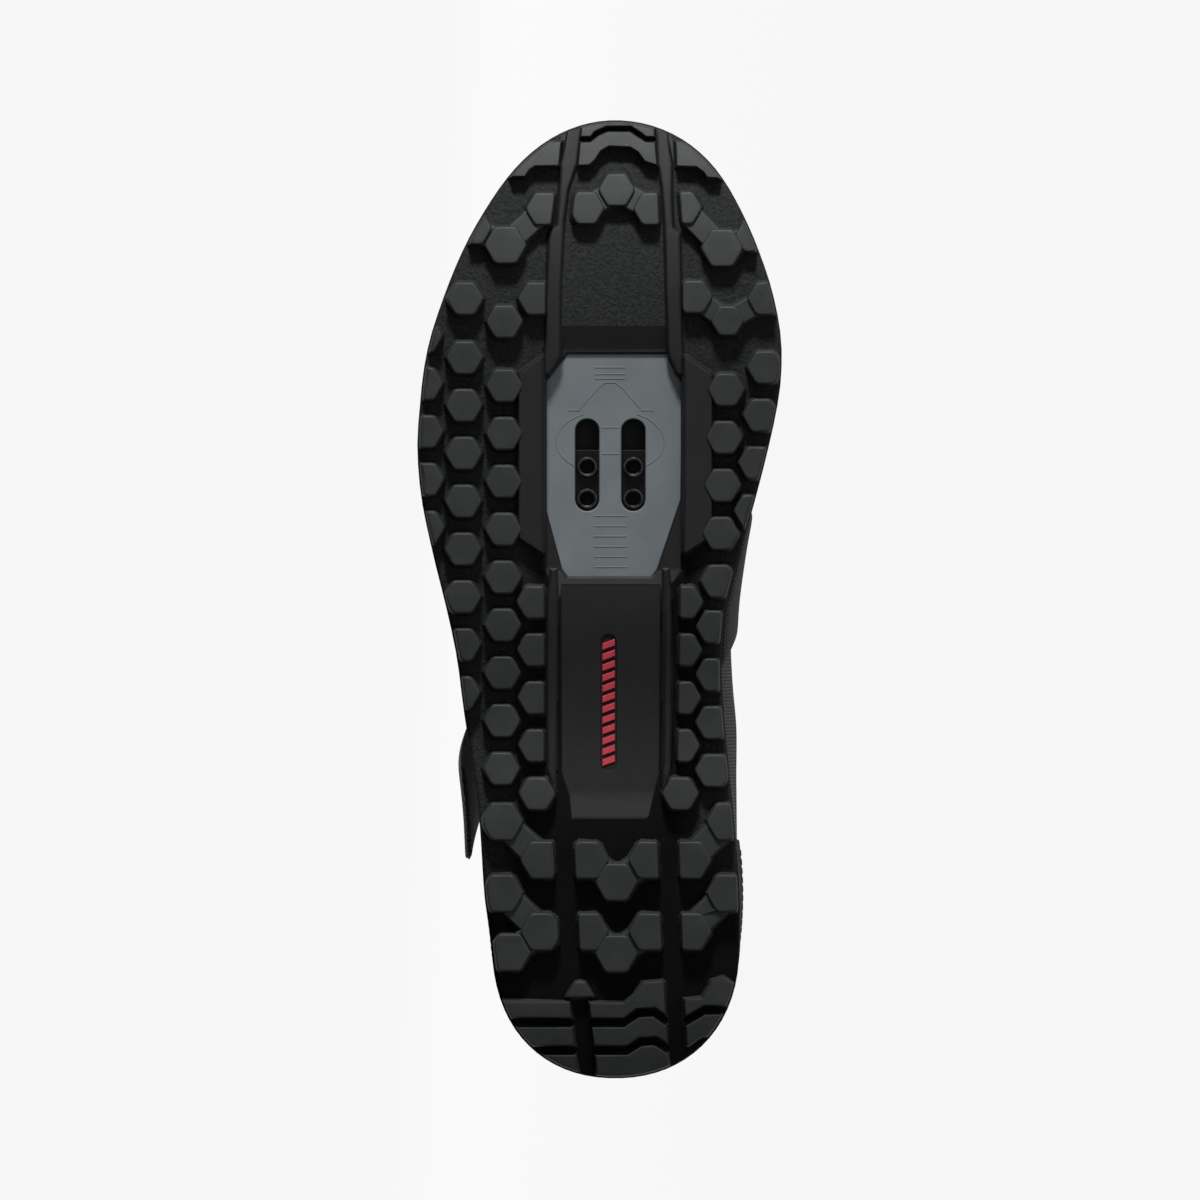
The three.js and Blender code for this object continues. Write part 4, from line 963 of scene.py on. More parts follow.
def on_rocker(obj, lanes=()):
    """Cuts a flat solid across, and along in lanes, and lifts it onto the rocker of the sole."""
    form = bmesh.new()
    form.from_mesh(obj.data)
    bmesh.ops.triangulate(form, faces=form.faces[:])
    places = np.arange(ROCKER_START, SHOE_LENGTH, ROCKER_STEP)
    cuts = [(Vector((x, 0, 0)), Vector((1, 0, 0))) for x in places]
    cuts += [(Vector((0, y, 0)), Vector((0, 1, 0))) for y in lanes]
    for point, normal in cuts:
        geometry = form.verts[:] + form.edges[:] + form.faces[:]
        bmesh.ops.bisect_plane(form, geom=geometry, dist=1e-4, plane_co=point, plane_no=normal)
    for vertex in form.verts:
        vertex.co.z += float(ground(vertex.co.x))
    form.to_mesh(obj.data)
    form.free()
    return obj


def mark_recess():
    """Round-ended recess in the arch."""
    outline = capsule(MARK_MIDDLE, MARK_LENGTH, MARK_WIDTH)
    floor = LUG_HEIGHT + ARCH_RECESS
    return stacked(
        outline, (0.3, LUG_HEIGHT - 1), (0.3, floor - 0.1), (0, floor + 0.25), (0, floor + MARK_DEPTH),
    )


def bar_outlines():
    """Slanted bars in a row along the recess."""
    half, lean = MARK_WIDTH / 2 - 0.45, MARK_LEAN
    step = (MARK_LENGTH - 3.0) / MARK_BARS
    outlines = []
    for k in range(MARK_BARS):
        x, y = MARK_MIDDLE + ((k - (MARK_BARS - 1) / 2) * step, 0)
        low, high = x - MARK_BAR_SHARE * step, x + MARK_BAR_SHARE * step
        outlines.append(np.array([
            (low - lean, y - half), (high - lean, y - half), (high + lean, y + half),
            (low + lean, y + half),
        ]))
    return outlines


def mark_bars():
    """The bars that stand in the recess."""
    floor = LUG_HEIGHT + ARCH_RECESS
    levels = (-0.15, floor + 0.1), (0, floor + 0.25), (0, floor + MARK_DEPTH + 0.3)
    return [stacked(outline, *levels) for outline in bar_outlines()]


def capsule(middle, length, width, points=12):
    """Round-ended outline along the shoe."""
    radius = width / 2
    angle = np.linspace(-np.pi / 2, np.pi / 2, points)
    front = np.stack([length / 2 - radius + radius * np.cos(angle), radius * np.sin(angle)], 1)
    return np.concatenate([front, -front]) + middle


def inside(points, outline):
    """Which plan points lie within an outline."""
    x, y = points.T
    found = np.zeros(len(points), bool)
    for (x0, y0), (x1, y1) in zip(outline, np.roll(outline, 1, 0)):
        crossed = (y0 > y) != (y1 > y)
        found ^= crossed & (x < (x1 - x0) * (y - y0) / (y1 - y0 + 1e-12) + x0)
    return found


def band_outline(rows):
    """Outline between the two edges of a band of (along, outer, inner) rows."""
    outer, inner = ([(row[0], row[k]) for row in rows] for k in (1, 2))
    return plan(outer + inner[::-1])


# Kinds of faces of the outsole, in the order of sole_materials
FLOOR, LUG, SMOOTH, RECESS, BAR = range(5)


def sort_faces(obj):
    """Tells floor, lugs, smooth parts, recess and the bars of the arch mark apart."""
    faces = obj.data.polygons
    centre = np.empty(3 * len(faces))
    faces.foreach_get("center", centre)
    centre = centre.reshape(-1, 3)
    place_in_plan = centre[:, :2]
    rise = centre[:, 2] - ground(centre[:, 0])
    kinds = np.where(rise < LUG_HEIGHT - 0.3, LUG, FLOOR)
    for outline in (*map(plan, SIDE_BARS), *map(band_outline, (*RAILS, *ARCH_RIDGES, ARCH_FLOOR, POCKET))):
        near = inside(place_in_plan, widened(outline, 0.4 if area(outline) > 0 else -0.4))
        kinds[near & (rise > 0.75 * BAR_DROP)] = SMOOTH
    in_mark = inside(place_in_plan, capsule(MARK_MIDDLE, MARK_LENGTH, MARK_WIDTH))
    kinds[in_mark & (rise < SOLE_BASE - 0.2)] = RECESS
    floor = LUG_HEIGHT + ARCH_RECESS + MARK_DEPTH - 0.05
    for bar in bar_outlines():
        kinds[inside(place_in_plan, widened(bar, 0.02)) & (rise < floor)] = BAR
    faces.foreach_set("material_index", kinds)


def to_model(obj):
    """Moves a finished mesh from shoe millimetres into the model's frame."""
    mesh = obj.data
    points = np.empty(3 * len(mesh.vertices))
    mesh.vertices.foreach_get("co", points)
    mesh.vertices.foreach_set("co", place(points.reshape(-1, 3)).ravel())
    mesh.update()


def even_normals(obj, angle=32):
    soften(obj.data, angle)
    weighted = obj.modifiers.new("even", "WEIGHTED_NORMAL")
    weighted.keep_sharp = True
    weighted.weight = 60


def finish_piece(obj, node, body="shoe", materials=()):
    if materials:
        kinds = np.empty(len(obj.data.polygons), int)
        obj.data.polygons.foreach_get("material_index", kinds)
        obj.data.materials.clear()
        for material in materials:
            obj.data.materials.append(material)
        obj.data.polygons.foreach_set("material_index", kinds)
    to_model(obj)
    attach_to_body(obj, body)
    if node:
        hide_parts(*([node] if isinstance(node, str) else node))
    return obj


def make_outsole():
    tread = solid("outsole_tread", [sole_tray()])
    cuts = [
        hollow(ARCH_FLOOR, ARCH_RECESS), hollow(POCKET, POCKET_DEPTH), window_cut(), mark_recess(),
    ]
    for rings in cuts:
        combine(tread, solid("cut", [rings]), "DIFFERENCE")
    on_rocker(tread, TREAD_LANES)
    single = [
        hexagon(start + i * LUG_PITCH, across + i * drift, HEX_ACROSS)
        for start, count, across, drift in LUG_ROWS for i in range(count)
    ]
    rows = [
        zigzag(TOE_ZIGZAG), zigzag(INNER_ZIGZAG),
        *[zigzag(HEEL_ZIGZAG, start) for start in HEEL_ZIGZAG_STARTS],
    ]
    second = HEEL_ZIGZAG[1]
    corner = zigzag([HEEL_CORNER_LUG, (second[0] + HEEL_ZIGZAG_STARTS[1], *second[1:])])
    hexagons = [lug for row in rows for lug in row[0]] + corner[0][:1]
    webs = [web for row in rows for web in row[1]] + corner[1]
    parts = [
        lug_group("lugs", single), lug_group("lugs", hexagons),
        lug_group("webs", webs[::2], WEB_DROP), lug_group("webs", webs[1::2], WEB_DROP),
        lug_group("pads", heel_pad() + toe_pad(), channels=(), corner=0),
        solid("rails", [rail_rings(rail) for rail in RAILS]),
        lug_group("bars", [plan(bar) for bar in SIDE_BARS], BAR_DROP, (), 0.8),
        lug_group("stop", [plan(HEEL_STOP)], 2 * WEB_DROP, ()),
        solid("ridges", [rail_rings(ridge, RIDGE_HEIGHT) for ridge in ARCH_RIDGES]),
        solid("bars", mark_bars()),
    ]
    for part in parts:
        combine(tread, on_rocker(part), "UNION")
    sort_faces(tread)
    finish_piece(tread, "outsole", materials=sole_materials())
    even_normals(tread)
    return tread


# Light, floor and camera
FLOOR_GLOW = (0.34, 0.99)
PAPER_WHITE = tone(247, 247, 247)


def make_stage():
    """A pale floor that sweeps up behind the shoe."""
    f = Finish("paper", 0.9, Specular_IOR_Level=0.0)
    seen = f.add("LightPath", 0)
    lit = f.mix(f.ramp(f.noise(400.0, 2.0), 0.3, 0.7), tone(128, 128, 128), tone(131, 131, 131))
    f.colour(f.mix(seen, lit, tone(30, 30, 30)))
    f.shader.inputs["Emission Color"].default_value = PAPER_WHITE
    glow = f.ramp(seen, 0.0, 1.0, *FLOOR_GLOW)
    f.tree.links.new(glow, f.shader.inputs["Emission Strength"])
    mesh = bpy.data.meshes.new("floor")
    reach, wide, turn = STAGE_REACH, STAGE_HALF_WIDTH, STAGE_TURN
    profile = [(-reach, 0.0), (reach - turn, 0.0)]
    profile += [
        (reach - turn + turn * math.sin(a), turn - turn * math.cos(a))
        for a in np.linspace(0.1, math.pi / 2, 12)
    ]
    profile.append((reach, STAGE_REACH))
    vertices = [(x, y, z) for y, z in profile for x in (-wide, wide)]
    faces = [(2 * i, 2 * i + 1, 2 * i + 3, 2 * i + 2) for i in range(len(profile) - 1)]
    mesh.from_pydata(vertices, [], faces)
    mesh.materials.append(f.material)
    mesh.shade_smooth()
    floor = bpy.data.objects.new("floor", mesh)
    bpy.context.scene.collection.objects.link(floor)


# Area lights that look at the middle of the shoe: place, size, power, whether they show as a shine
LIGHTS = {
    "key": ((1.75, -0.95, 0.25), (0.3, 0.3), 46, True),
    "fill": ((0.2, -1.9, 0.5), (0.8, 0.6), 2, True),
    "back": ((0.3, 1.9, 1.1), (1.2, 0.9), 60, False),
}
STAGE_REACH = 6.0
STAGE_HALF_WIDTH = 9.0
STAGE_TURN = 0.9
LIT_PLACE = (0.0, 0.0, 0.05)
STUDIO_GLOW = 0.03


def area_light(name, place_at, size, power, glossy):
    light = bpy.data.lights.new(name, "AREA")
    light.shape = "RECTANGLE"
    light.size, light.size_y = size
    light.energy = power
    obj = bpy.data.objects.new(name, light)
    obj.visible_glossy = glossy
    bpy.context.scene.collection.objects.link(obj)
    obj.location = place_at
    obj.rotation_euler = (Vector(LIT_PLACE) - Vector(place_at)).to_track_quat("-Z", "Y").to_euler()


def make_lights():
    world = bpy.data.worlds.new("studio")
    bpy.context.scene.world = world
    world.use_nodes = True
    nodes, links = world.node_tree.nodes, world.node_tree.links
    background = nodes["Background"]
    background.inputs["Color"].default_value = PAPER_WHITE
    background.inputs["Strength"].default_value = STUDIO_GLOW
    seen = nodes.new("ShaderNodeBackground")
    seen.inputs["Color"].default_value = PAPER_WHITE
    path = nodes.new("ShaderNodeLightPath")
    mix = nodes.new("ShaderNodeMixShader")
    links.new(path.outputs["Is Camera Ray"], mix.inputs[0])
    links.new(background.outputs[0], mix.inputs[1])
    links.new(seen.outputs[0], mix.inputs[2])
    links.new(mix.outputs[0], nodes["World Output"].inputs["Surface"])
    for name, settings in LIGHTS.items():
        area_light(name, *settings)


CAMERA_DISTANCE = 4500.0
FRAME_WIDTH = 363.4
PHOTO_MIDDLE = (145.1, -4.6)
SENSOR = 36.0


def make_camera():
    camera = bpy.data.cameras.new("camera")
    camera.sensor_width = camera.sensor_height = SENSOR
    camera.lens = SENSOR * CAMERA_DISTANCE / FRAME_WIDTH
    camera.clip_end = 50
    obj = bpy.data.objects.new("camera", camera)
    bpy.context.scene.collection.objects.link(obj)
    right, up, back = TURN[:, 1], TURN[:, 0], -TURN[:, 2]
    turn = Matrix(np.stack([right, up, back], 1).tolist()).to_4x4()
    where = place([(*PHOTO_MIDDLE, SOLE_BASE / 2 - CAMERA_DISTANCE)])[0]
    obj.matrix_world = Matrix.Translation(Vector(where)) @ turn
    bpy.context.scene.camera = obj
    bpy.context.scene.view_settings.view_transform = "Standard"


# Sizes of the upper
INSTEP_HEIGHT = 120.0
WELT_WIDTH = 3.0
TOE_FALL_START = 0.87
TOE_FALL_POWER = 2.4
UPPER_WALL = 2.2
COLLAR_PADDING = 4.2
HEEL_CURVE = 5.0
THROAT_FRONT = 201.0
THROAT_BACK = 104.0
THROAT_FRONT_WIDTH = 22.0
THROAT_BACK_WIDTH = 46.0
EYESTAY_WIDTH = 13.0
OVERLAY_THICKNESS = 1.2
TONGUE_THICKNESS = 5.0
TONGUE_REAR = 0.335
TONGUE_FRONT = 0.775
TONGUE_HALF_WIDTH = 0.3
INSOLE_THICKNESS = 4.0
LACE_WIDTH = 4.4
LACE_THICKNESS = 1.4
LACE_DIP = 3.2
EYELET_RADIUS = 2.7
EYELET_INSET = 7.5
LACE_ROWS = 5
FIRST_LACE = 189.0
LACE_STEP = 15.5
STRAP_WIDTH = 27.0
STRAP_THICKNESS = 2.0
STRAP_LIFT = 5.2
STRAP_TIP_LIFT = 4.8
STITCH_LENGTH = 2.2
STITCH_PITCH = 3.1
STITCH_RADIUS = 0.3
STITCH_INSET = 1.9
RIM_TUBE = 0.45
QUILT_DEPTH = 0.9
QUILT_WIDTH = 1.4

# Sections of the upper, as in the shoe's own form: at, ridge as a share of the instep height, gap,
# shoulder and the two bulges as shares of the ball width, drop and rise of the section height
SECTIONS = [
    (0.0, 1.07, 0.235, 0.03, 0.3, 0.04, 0.04, 0.34), (0.15, 1.07, 0.24, 0.03, 0.3, 0.05, 0.06, 0.34),
    (0.3, 1.12, 0.16, 0.11, 0.22, 0.03, 0.12, 0.35), (0.36, 1.1, 0.08, 0.2, 0.12, 0.02, 0.15, 0.37),
    (0.4, 1.03, 0.06, 0.21, 0.09, 0.02, 0.15, 0.38), (0.44, 0.965, 0.03, 0.22, 0.07, 0.02, 0.15, 0.4),
    (0.5, 0.86, 0.015, 0.22, 0.04, 0.02, 0.13, 0.43), (0.56, 0.765, 0.01, 0.21, 0.01, 0.02, 0.09, 0.46),
    (0.63, 0.68, 0.01, 0.23, 0, 0.02, 0.05, 0.5), (0.7, 0.605, 0.01, 0.25, 0, 0.015, 0.02, 0.53),
    (0.78, 0.54, 0.01, 0.27, 0, 0.01, 0.01, 0.56), (0.86, 0.5, 0.01, 0.27, 0, 0.01, 0.01, 0.6),
    (0.93, 0.47, 0.01, 0.26, 0, 0.01, 0.01, 0.64), (1.0, 0.43, 0.01, 0.24, 0, 0.01, 0.01, 0.68),
]
# Back of the heel in side view: how far it leans forward, as a share of the heel curve
HEEL_PROFILE = [(0.0, 0.0), (0.22, -0.3), (0.5, 0.4), (0.78, 0.9), (1.0, 0.5)]
# Top edge of the collar in side view, as shares of the shoe length and of the instep height
TOPLINE = [
    (-0.06, 0.87), (0.02, 0.875), (0.075, 0.81), (0.14, 0.71), (0.22, 0.68), (0.3, 0.73),
    (0.37, 0.83), (0.42, 0.93), (0.5, 1.08),
]
# Lower edges of the eyestay and of the tongue and top of the heel counter: along, height
EYESTAY_LOW = [(0.3, 0.93), (0.38, 0.76), (0.44, 0.65), (0.52, 0.54), (0.62, 0.43), (0.7, 0.36), (0.8, 0.3)]
TONGUE_LOW = [(0.335, 1.0), (0.36, 0.76), (0.4, 0.66), (0.5, 0.54), (0.62, 0.45), (0.74, 0.38), (0.8, 0.36)]
COUNTER_TOP = [(-0.1, 0.66), (0.03, 0.66), (0.08, 0.6), (0.17, 0.42), (0.25, 0.33), (0.27, 0.0), (1.0, 0.0)]
# Rear edge of the toe cap: across, along
TOE_CAP_REAR = [
    (-0.6, 0.77), (-0.46, 0.79), (-0.29, 0.87), (-0.13, 0.9), (0.0, 0.905), (0.12, 0.9),
    (0.27, 0.875), (0.44, 0.8), (0.6, 0.78),
]

section = {
    name: column(SECTIONS, k + 1)
    for k, name in enumerate(("ridge", "gap", "shoulder", "drop", "bulge_outer", "bulge_inner", "rise"))
}
heel_lean = column(HEEL_PROFILE, 1)
topline_at = column(TOPLINE, 1)


def form(share, side, t, grow=0.0, lift=0.0):
    """The upper's own form: side is -1 or 1, t runs from the sole edge (0) to the ridge (1)."""
    share, side, t, grow = np.broadcast_arrays(*(np.asarray(v, float) for v in (share, side, t, grow)))
    inner = side > 0
    inset = WELT_WIDTH - grow
    x = inset + share * (SHOE_LENGTH - 2 * inset)
    foot = np.where(inner, outline_at[1](share), outline_at[-1](share)) * BALL_WIDTH - inset
    low = feather_height(x) + lift
    toe = np.clip((share - TOE_FALL_START) / (1 - TOE_FALL_START), 0, 1)
    fall = (1 - toe ** TOE_FALL_POWER) ** (1 / TOE_FALL_POWER)
    height = (section["ridge"](share) * INSTEP_HEIGHT + grow - low) * fall
    gap = section["gap"](share) * BALL_WIDTH
    opened = gap + grow * np.clip(gap / 20, 0, 1)
    bulge = np.where(inner, section["bulge_inner"](share), section["bulge_outer"](share)) * BALL_WIDTH
    shoulder = section["shoulder"](share) * BALL_WIDTH + 0.75 * grow
    weights = ((1 - t) ** 3, 3 * t * (1 - t) ** 2, 3 * t * t * (1 - t), t ** 3)
    across = (foot, foot + bulge, opened + shoulder, opened)
    upwards = (0.0, section["rise"](share), 1 - section["drop"](share), 1.0)
    y = side * sum(w * v for w, v in zip(weights, across)) * end_factor(share)
    z = low + height * sum(w * v for w, v in zip(weights, upwards))
    fade = (1 - np.clip(share / 0.25, 0, 1)) ** 2
    lean = HEEL_CURVE * heel_lean(np.clip((z - low) / (0.72 * INSTEP_HEIGHT), 0, 1)) * fade
    return np.stack([x + lean, y, z], -1)


def solve(low, high, is_below, steps=34):
    """Bisects many unknowns at once: is_below says where the answer is higher."""
    low, high = np.array(low, float), np.array(high, float)
    for _ in range(steps):
        middle = (low + high) / 2
        below = is_below(middle)
        low, high = np.where(below, middle, low), np.where(below, high, middle)
    return (low + high) / 2


def throat_half(x):
    """Half width of the throat in plan: wide at the collar and round at the vamp."""
    front, back = THROAT_FRONT_WIDTH / 2, THROAT_BACK_WIDTH / 2
    start = THROAT_FRONT - front
    straight = back + (front - back) * (x - THROAT_BACK) / (start - THROAT_BACK)
    arc = np.sqrt(np.clip(front ** 2 - (x - start) ** 2, 0, None))
    return np.where(x > start, arc, straight)


FRONT_SHARE = (THROAT_FRONT - WELT_WIDTH) / (SHOE_LENGTH - 2 * WELT_WIDTH)


def opening_t(share, side):
    """Where the opening cuts the form: at the collar's top edge or at the throat, whichever is lower."""
    zero, one = np.zeros_like(share), np.ones_like(share)

    def under_topline(t):
        p = form(share, side, t)
        return p[..., 2] < topline_at(p[..., 0] / SHOE_LENGTH) * INSTEP_HEIGHT

    def outside_throat(t):
        p = form(share, side, t)
        return np.abs(p[..., 1]) > throat_half(p[..., 0])

    top = solve(zero, one, under_topline)
    throat = solve(0.3 * one, one, outside_throat)
    x = form(share, side, one)[..., 0]
    return np.where(x < THROAT_BACK, top, np.minimum(top, throat))


def lining_depth(share, t):
    """How far the inside of the upper lies from its outside: padded round the ankle."""
    return UPPER_WALL + COLLAR_PADDING * (1 - smooth(0.24, 0.34, share)) * smooth(0.28, 0.42, t)


class Lines:
    """Lines up the form, from the sole edge to the opening, all the way round the foot."""

    def __init__(self, stations):
        k = np.arange(stations)
        share = (1 - np.cos(np.pi * (k + 0.5) / stations)) / 2
        self.start = np.concatenate([share, share[::-1]])
        self.side = np.repeat([-1.0, 1.0], stations)
        swept = (1 - FRONT_SHARE) * np.clip((self.start - 0.3) / 0.7, 0, 1) ** 1.5
        self.end = np.minimum(self.start - swept, FRONT_SHARE - 1e-5)
        self.top = 1 - opening_t(self.end, self.side)

    def half(self, share):
        inner = self.side > 0
        return np.where(inner, outline_at[1](share), outline_at[-1](share)) * end_factor(share)

    def at(self, m):
        """Shares and t of the places m (0 to 1) up each line."""
        share = self.start + (self.end - self.start) * m
        reach = (1 - m) * self.half(self.start) + m * self.top * self.half(self.end)
        return share, 1 - np.clip(reach / self.half(share), 0, 1)

    def points(self, m, grow=0.0, lift=0.0):
        share, t = self.at(m)
        value = grow(share, t) if callable(grow) else grow
        return form(share, self.side, t, value, lift)


lines = Lines(190)


def girths(shares=90, steps=120):
    """Distance up the section from the sole edge, as a lookup over side, share and t."""
    share, t = np.linspace(0, 1, shares), np.linspace(0, 1, steps)
    tables = {}
    for side in (-1, 1):
        p = form(share[:, None], side, t[None])
        step = np.linalg.norm(np.diff(p[..., 1:], axis=1), axis=2)
        tables[side] = np.concatenate([np.zeros((shares, 1)), np.cumsum(step, 1)], 1)
    return tables


GIRTHS = girths()


def outline_lengths():
    """Distance round half of the outline from the heel, as a lookup over the share."""
    share = (1 - np.cos(np.linspace(0, np.pi, 200))) / 2
    half = (outline_at[1](share) + outline_at[-1](share)) / 2 * BALL_WIDTH * end_factor(share)
    return share, lengths_along(np.stack([share * SHOE_LENGTH, half], 1))


OUTLINE_LENGTHS = outline_lengths()


def cloth_place(share, side, t):
    """Millimetres along the shoe and up its side, for the weave."""
    values = []
    for wanted in (-1, 1):
        table = GIRTHS[wanted]
        row = np.clip(share * (table.shape[0] - 1), 0, table.shape[0] - 1.001)
        step = np.clip(t * (table.shape[1] - 1), 0, table.shape[1] - 1.001)
        i, j = row.astype(int), step.astype(int)
        a, b = row - i, step - j
        values.append(
            (table[i, j] * (1 - b) + table[i, j + 1] * b) * (1 - a)
            + (table[i + 1, j] * (1 - b) + table[i + 1, j + 1] * b) * a
        )
    girth = np.where(side > 0, values[1], values[0])
    return np.stack([np.interp(share, *OUTLINE_LENGTHS), girth + 0 * share], -1)


def grid_object(name, rows, cloth, materials, kinds=None, ring=True, closed=True, angle=40):
    """A mesh from rows of points. ring joins the last column to the first, closed the last row."""
    rows, cloth = np.asarray(rows), np.asarray(cloth)
    count, around = rows.shape[:2]
    faces, slots = [], []
    for i in range(count if closed else count - 1):
        k = (i + 1) % count
        for j in range(around if ring else around - 1):
            n = (j + 1) % around
            faces.append((i * around + j, i * around + n, k * around + n, k * around + j))
            slots.append(kinds[i] if kinds else 0)
    if not ring:
        for j in (0, around - 1):
            cap = [i * around + j for i in range(count)]
            half = count // 2
            for i in range(half - 1):
                quad = (cap[i], cap[i + 1], cap[count - 2 - i], cap[count - 1 - i])
                faces.append(quad)
                slots.append(kinds[i] if kinds else 0)
    obj = new_object(name, rows.reshape(-1, 3), faces, materials, slots, angle)
    set_cloth(obj, cloth)
    outwards(obj)
    return obj


def set_cloth(obj, cloth):
    """Stores the place on the cloth, in millimetres, that each vertex has."""
    layer = obj.data.uv_layers.new(name="cloth")
    corners = np.empty(len(obj.data.loops), int)
    obj.data.loops.foreach_get("vertex_index", corners)
    layer.data.foreach_set("uv", cloth.reshape(-1, 2)[corners].ravel())


def outwards(obj):
    shell = bmesh.new()
    shell.from_mesh(obj.data)
    bmesh.ops.recalc_face_normals(shell, faces=shell.faces)
    if shell.calc_volume(signed=True) < 0:
        bmesh.ops.reverse_faces(shell, faces=shell.faces)
    shell.to_mesh(obj.data)
    shell.free()


# Fabrics
def woven_mesh(name="woven_mesh", light=(98, 99, 100), dark=(8, 8, 8), pitch=1.05):
    """Open mesh cloth: staggered holes between round threads."""
    f = Finish(name, 0.85, Specular_IOR_Level=0.25)
    cloth = f.on_cloth((1 / pitch, 1 / (0.8 * pitch), 1))
    holes = f.cells(1.0, cloth, "F1", 0.12)
    thread = f.ramp(holes, 0.24, 0.4)
    cloud = f.noise(18.0, 3.0)
    base = f.mix(f.ramp(cloud, 0.3, 0.7), tone(*light), tone(*[c - 8 for c in light]))
    f.colour(f.mix(thread, tone(*dark), base))
    f.bump(thread, 0.3)
    f.sheen(0.15)
    return f.material


def coated_cloth(name="coated_overlay", shade=(30, 31, 32)):
    """Smooth coated overlay with a fine leather grain."""
    f = Finish(name, 0.5, Specular_IOR_Level=0.45)
    grain = f.cells(0.7, feature="SMOOTH_F1")
    cloud = f.noise(12.0, 3.0)
    f.colour(f.mix(f.ramp(cloud, 0.3, 0.7), tone(*shade), tone(*[c + 7 for c in shade])))
    f.rough(f.ramp(f.noise(1.2, 2.0), 0.3, 0.7, 0.6, 0.74))
    f.bump(grain, 0.06)
    f.bump(f.noise(4.0, 3.0), 0.1)
    return f.material


def knit(name, shade, pitch=0.9):
    """Soft brushed lining, or the close weave of webbing."""
    f = Finish(name, 0.92, Specular_IOR_Level=0.2)
    cloth = f.on_cloth((1 / pitch, 1 / pitch, 1))
    rib = f.add("TexWave", 0, {"Vector": cloth}, {"Scale": 0.5, "Distortion": 0.6, "Detail": 1.0})
    cross = f.add(
        "TexWave", 0, {"Vector": cloth}, {"Scale": 0.5, "Distortion": 0.6, "Detail": 1.0},
        bands_direction="Y",
    )
    weave = f.math("MULTIPLY", rib, cross)
    f.colour(f.mix(f.ramp(weave, 0.0, 0.7), tone(*[max(c - 12, 4) for c in shade]), tone(*shade)))
    f.bump(weave, 0.14)
    f.sheen(0.3)
    return f.material


def webbing_weave():
    """Coarse woven band: pale thread ends in staggered rows over black."""
    f = Finish("strap_webbing", 0.8, Specular_IOR_Level=0.3)
    cloth = f.on_cloth((1 / 1.3, 1 / 0.9, 1))
    ends = f.cells(1.0, cloth, "F1", 0.15)
    thread = f.ramp(ends, 0.2, 0.5, 1.0, 0.0)
    cloud = f.noise(6.0, 2.0)
    pale = f.mix(f.ramp(cloud, 0.3, 0.7), tone(52, 53, 54), tone(66, 67, 68))
    f.colour(f.mix(thread, tone(11, 11, 12), pale))
    f.bump(thread, 0.22)
    f.sheen(0.2)
    return f.material


# The upper
def make_upper(fabric, lining, binding):
    rise = np.linspace(0, 1, 50) ** 1.5
    outer, inner, cloth_rows = [], [], []
    edge_outer = lines.points(1.0, 0.0, CLEARANCE)
    edge_inner = lines.points(1.0, lambda s, t: -lining_depth(s, t), CLEARANCE)
    below = lines.points(0.97, 0.0, CLEARANCE)
    thickness = np.linalg.norm(edge_outer - edge_inner, axis=1)
    upwards = edge_outer - below
    length = np.linalg.norm(upwards, axis=1)[:, None]
    upwards = upwards / length
    roll = 0.42 * thickness[:, None]
    last = 1 - 0.03 * (roll / length)[:, 0]
    for m in rise:
        where = m * last
        share, t = lines.at(where)
        cloth_rows.append(cloth_place(share, lines.side, t))
        outer.append(form(share, lines.side, t, 0.0, CLEARANCE))
        inner.append(form(share, lines.side, t, -lining_depth(share, t), CLEARANCE))
    a, b = outer[-1], inner[-1]
    middle, half = (a + b) / 2, (a - b) / 2
    rim = [
        middle + half * math.cos(angle) + upwards * roll * math.sin(angle)
        for angle in np.linspace(0, np.pi, 9)[1:-1]
    ]
    rows = outer + rim + inner[::-1]
    edge = cloth_rows[-1]
    rolled = np.linalg.norm(np.diff([a, *rim, b], axis=0), axis=2).cumsum(0)
    turn = edge[:, 1] + rolled[-1]
    cloth = cloth_rows + [np.stack([edge[:, 0], edge[:, 1] + step], -1) for step in rolled[:-1]]
    cloth += [np.stack([row[:, 0], turn + edge[:, 1] - row[:, 1]], -1) for row in cloth_rows[::-1]]
    kinds = [0] * (len(outer) - 2) + [2] * (len(rim) + 2) + [1] * (len(inner) + 1)
    upper = grid_object("upper_shell", rows, cloth, (fabric, lining, binding), kinds)
    return upper


def over_form(x, y, grow=0.0):
    """Place and outward direction of the form over a plan place near its ridge."""
    share = (x - WELT_WIDTH) / (SHOE_LENGTH - 2 * WELT_WIDTH)
    side = -1.0 if y < 0 else 1.0
    t = float(solve(0.3, 1.0, lambda v: abs(form(share, side, v, grow)[1]) > abs(y)))
    at = form(share, side, t, grow)
    along = form(share + 0.01, side, t, grow) - at
    across = form(share, side, t - 0.02, grow) - at
    normal = unit(np.cross(along, across))
    at[1] = y
    return at, normal * (1 if normal[2] > 0 else -1)


def eyelet_places():
    places = []
    for row in range(LACE_ROWS):
        x = FIRST_LACE - row * LACE_STEP
        straight = float(throat_half(np.array(min(x, THROAT_FRONT - THROAT_FRONT_WIDTH / 2 - 1e-6))))
        places.append((x, straight + EYELET_INSET))
    return places


def disc_axes(normal):
    aside = unit(np.cross(normal, (1, 0, 0)))
    return aside, np.cross(normal, aside)


def eyelet_drills(radius=EYELET_RADIUS, depth=9.0):
    parts = []
    for x, y in eyelet_places():
        for side in (-1, 1):
            at, normal = over_form(x, side * y)
            aside, third = disc_axes(normal)
            angle = np.linspace(0, 2 * np.pi, 24, endpoint=False)[:, None]
            ring = radius * (np.cos(angle) * aside + np.sin(angle) * third)
            parts.append([at + ring + normal * z for z in (-depth, depth)])
    return solid("drills", parts)


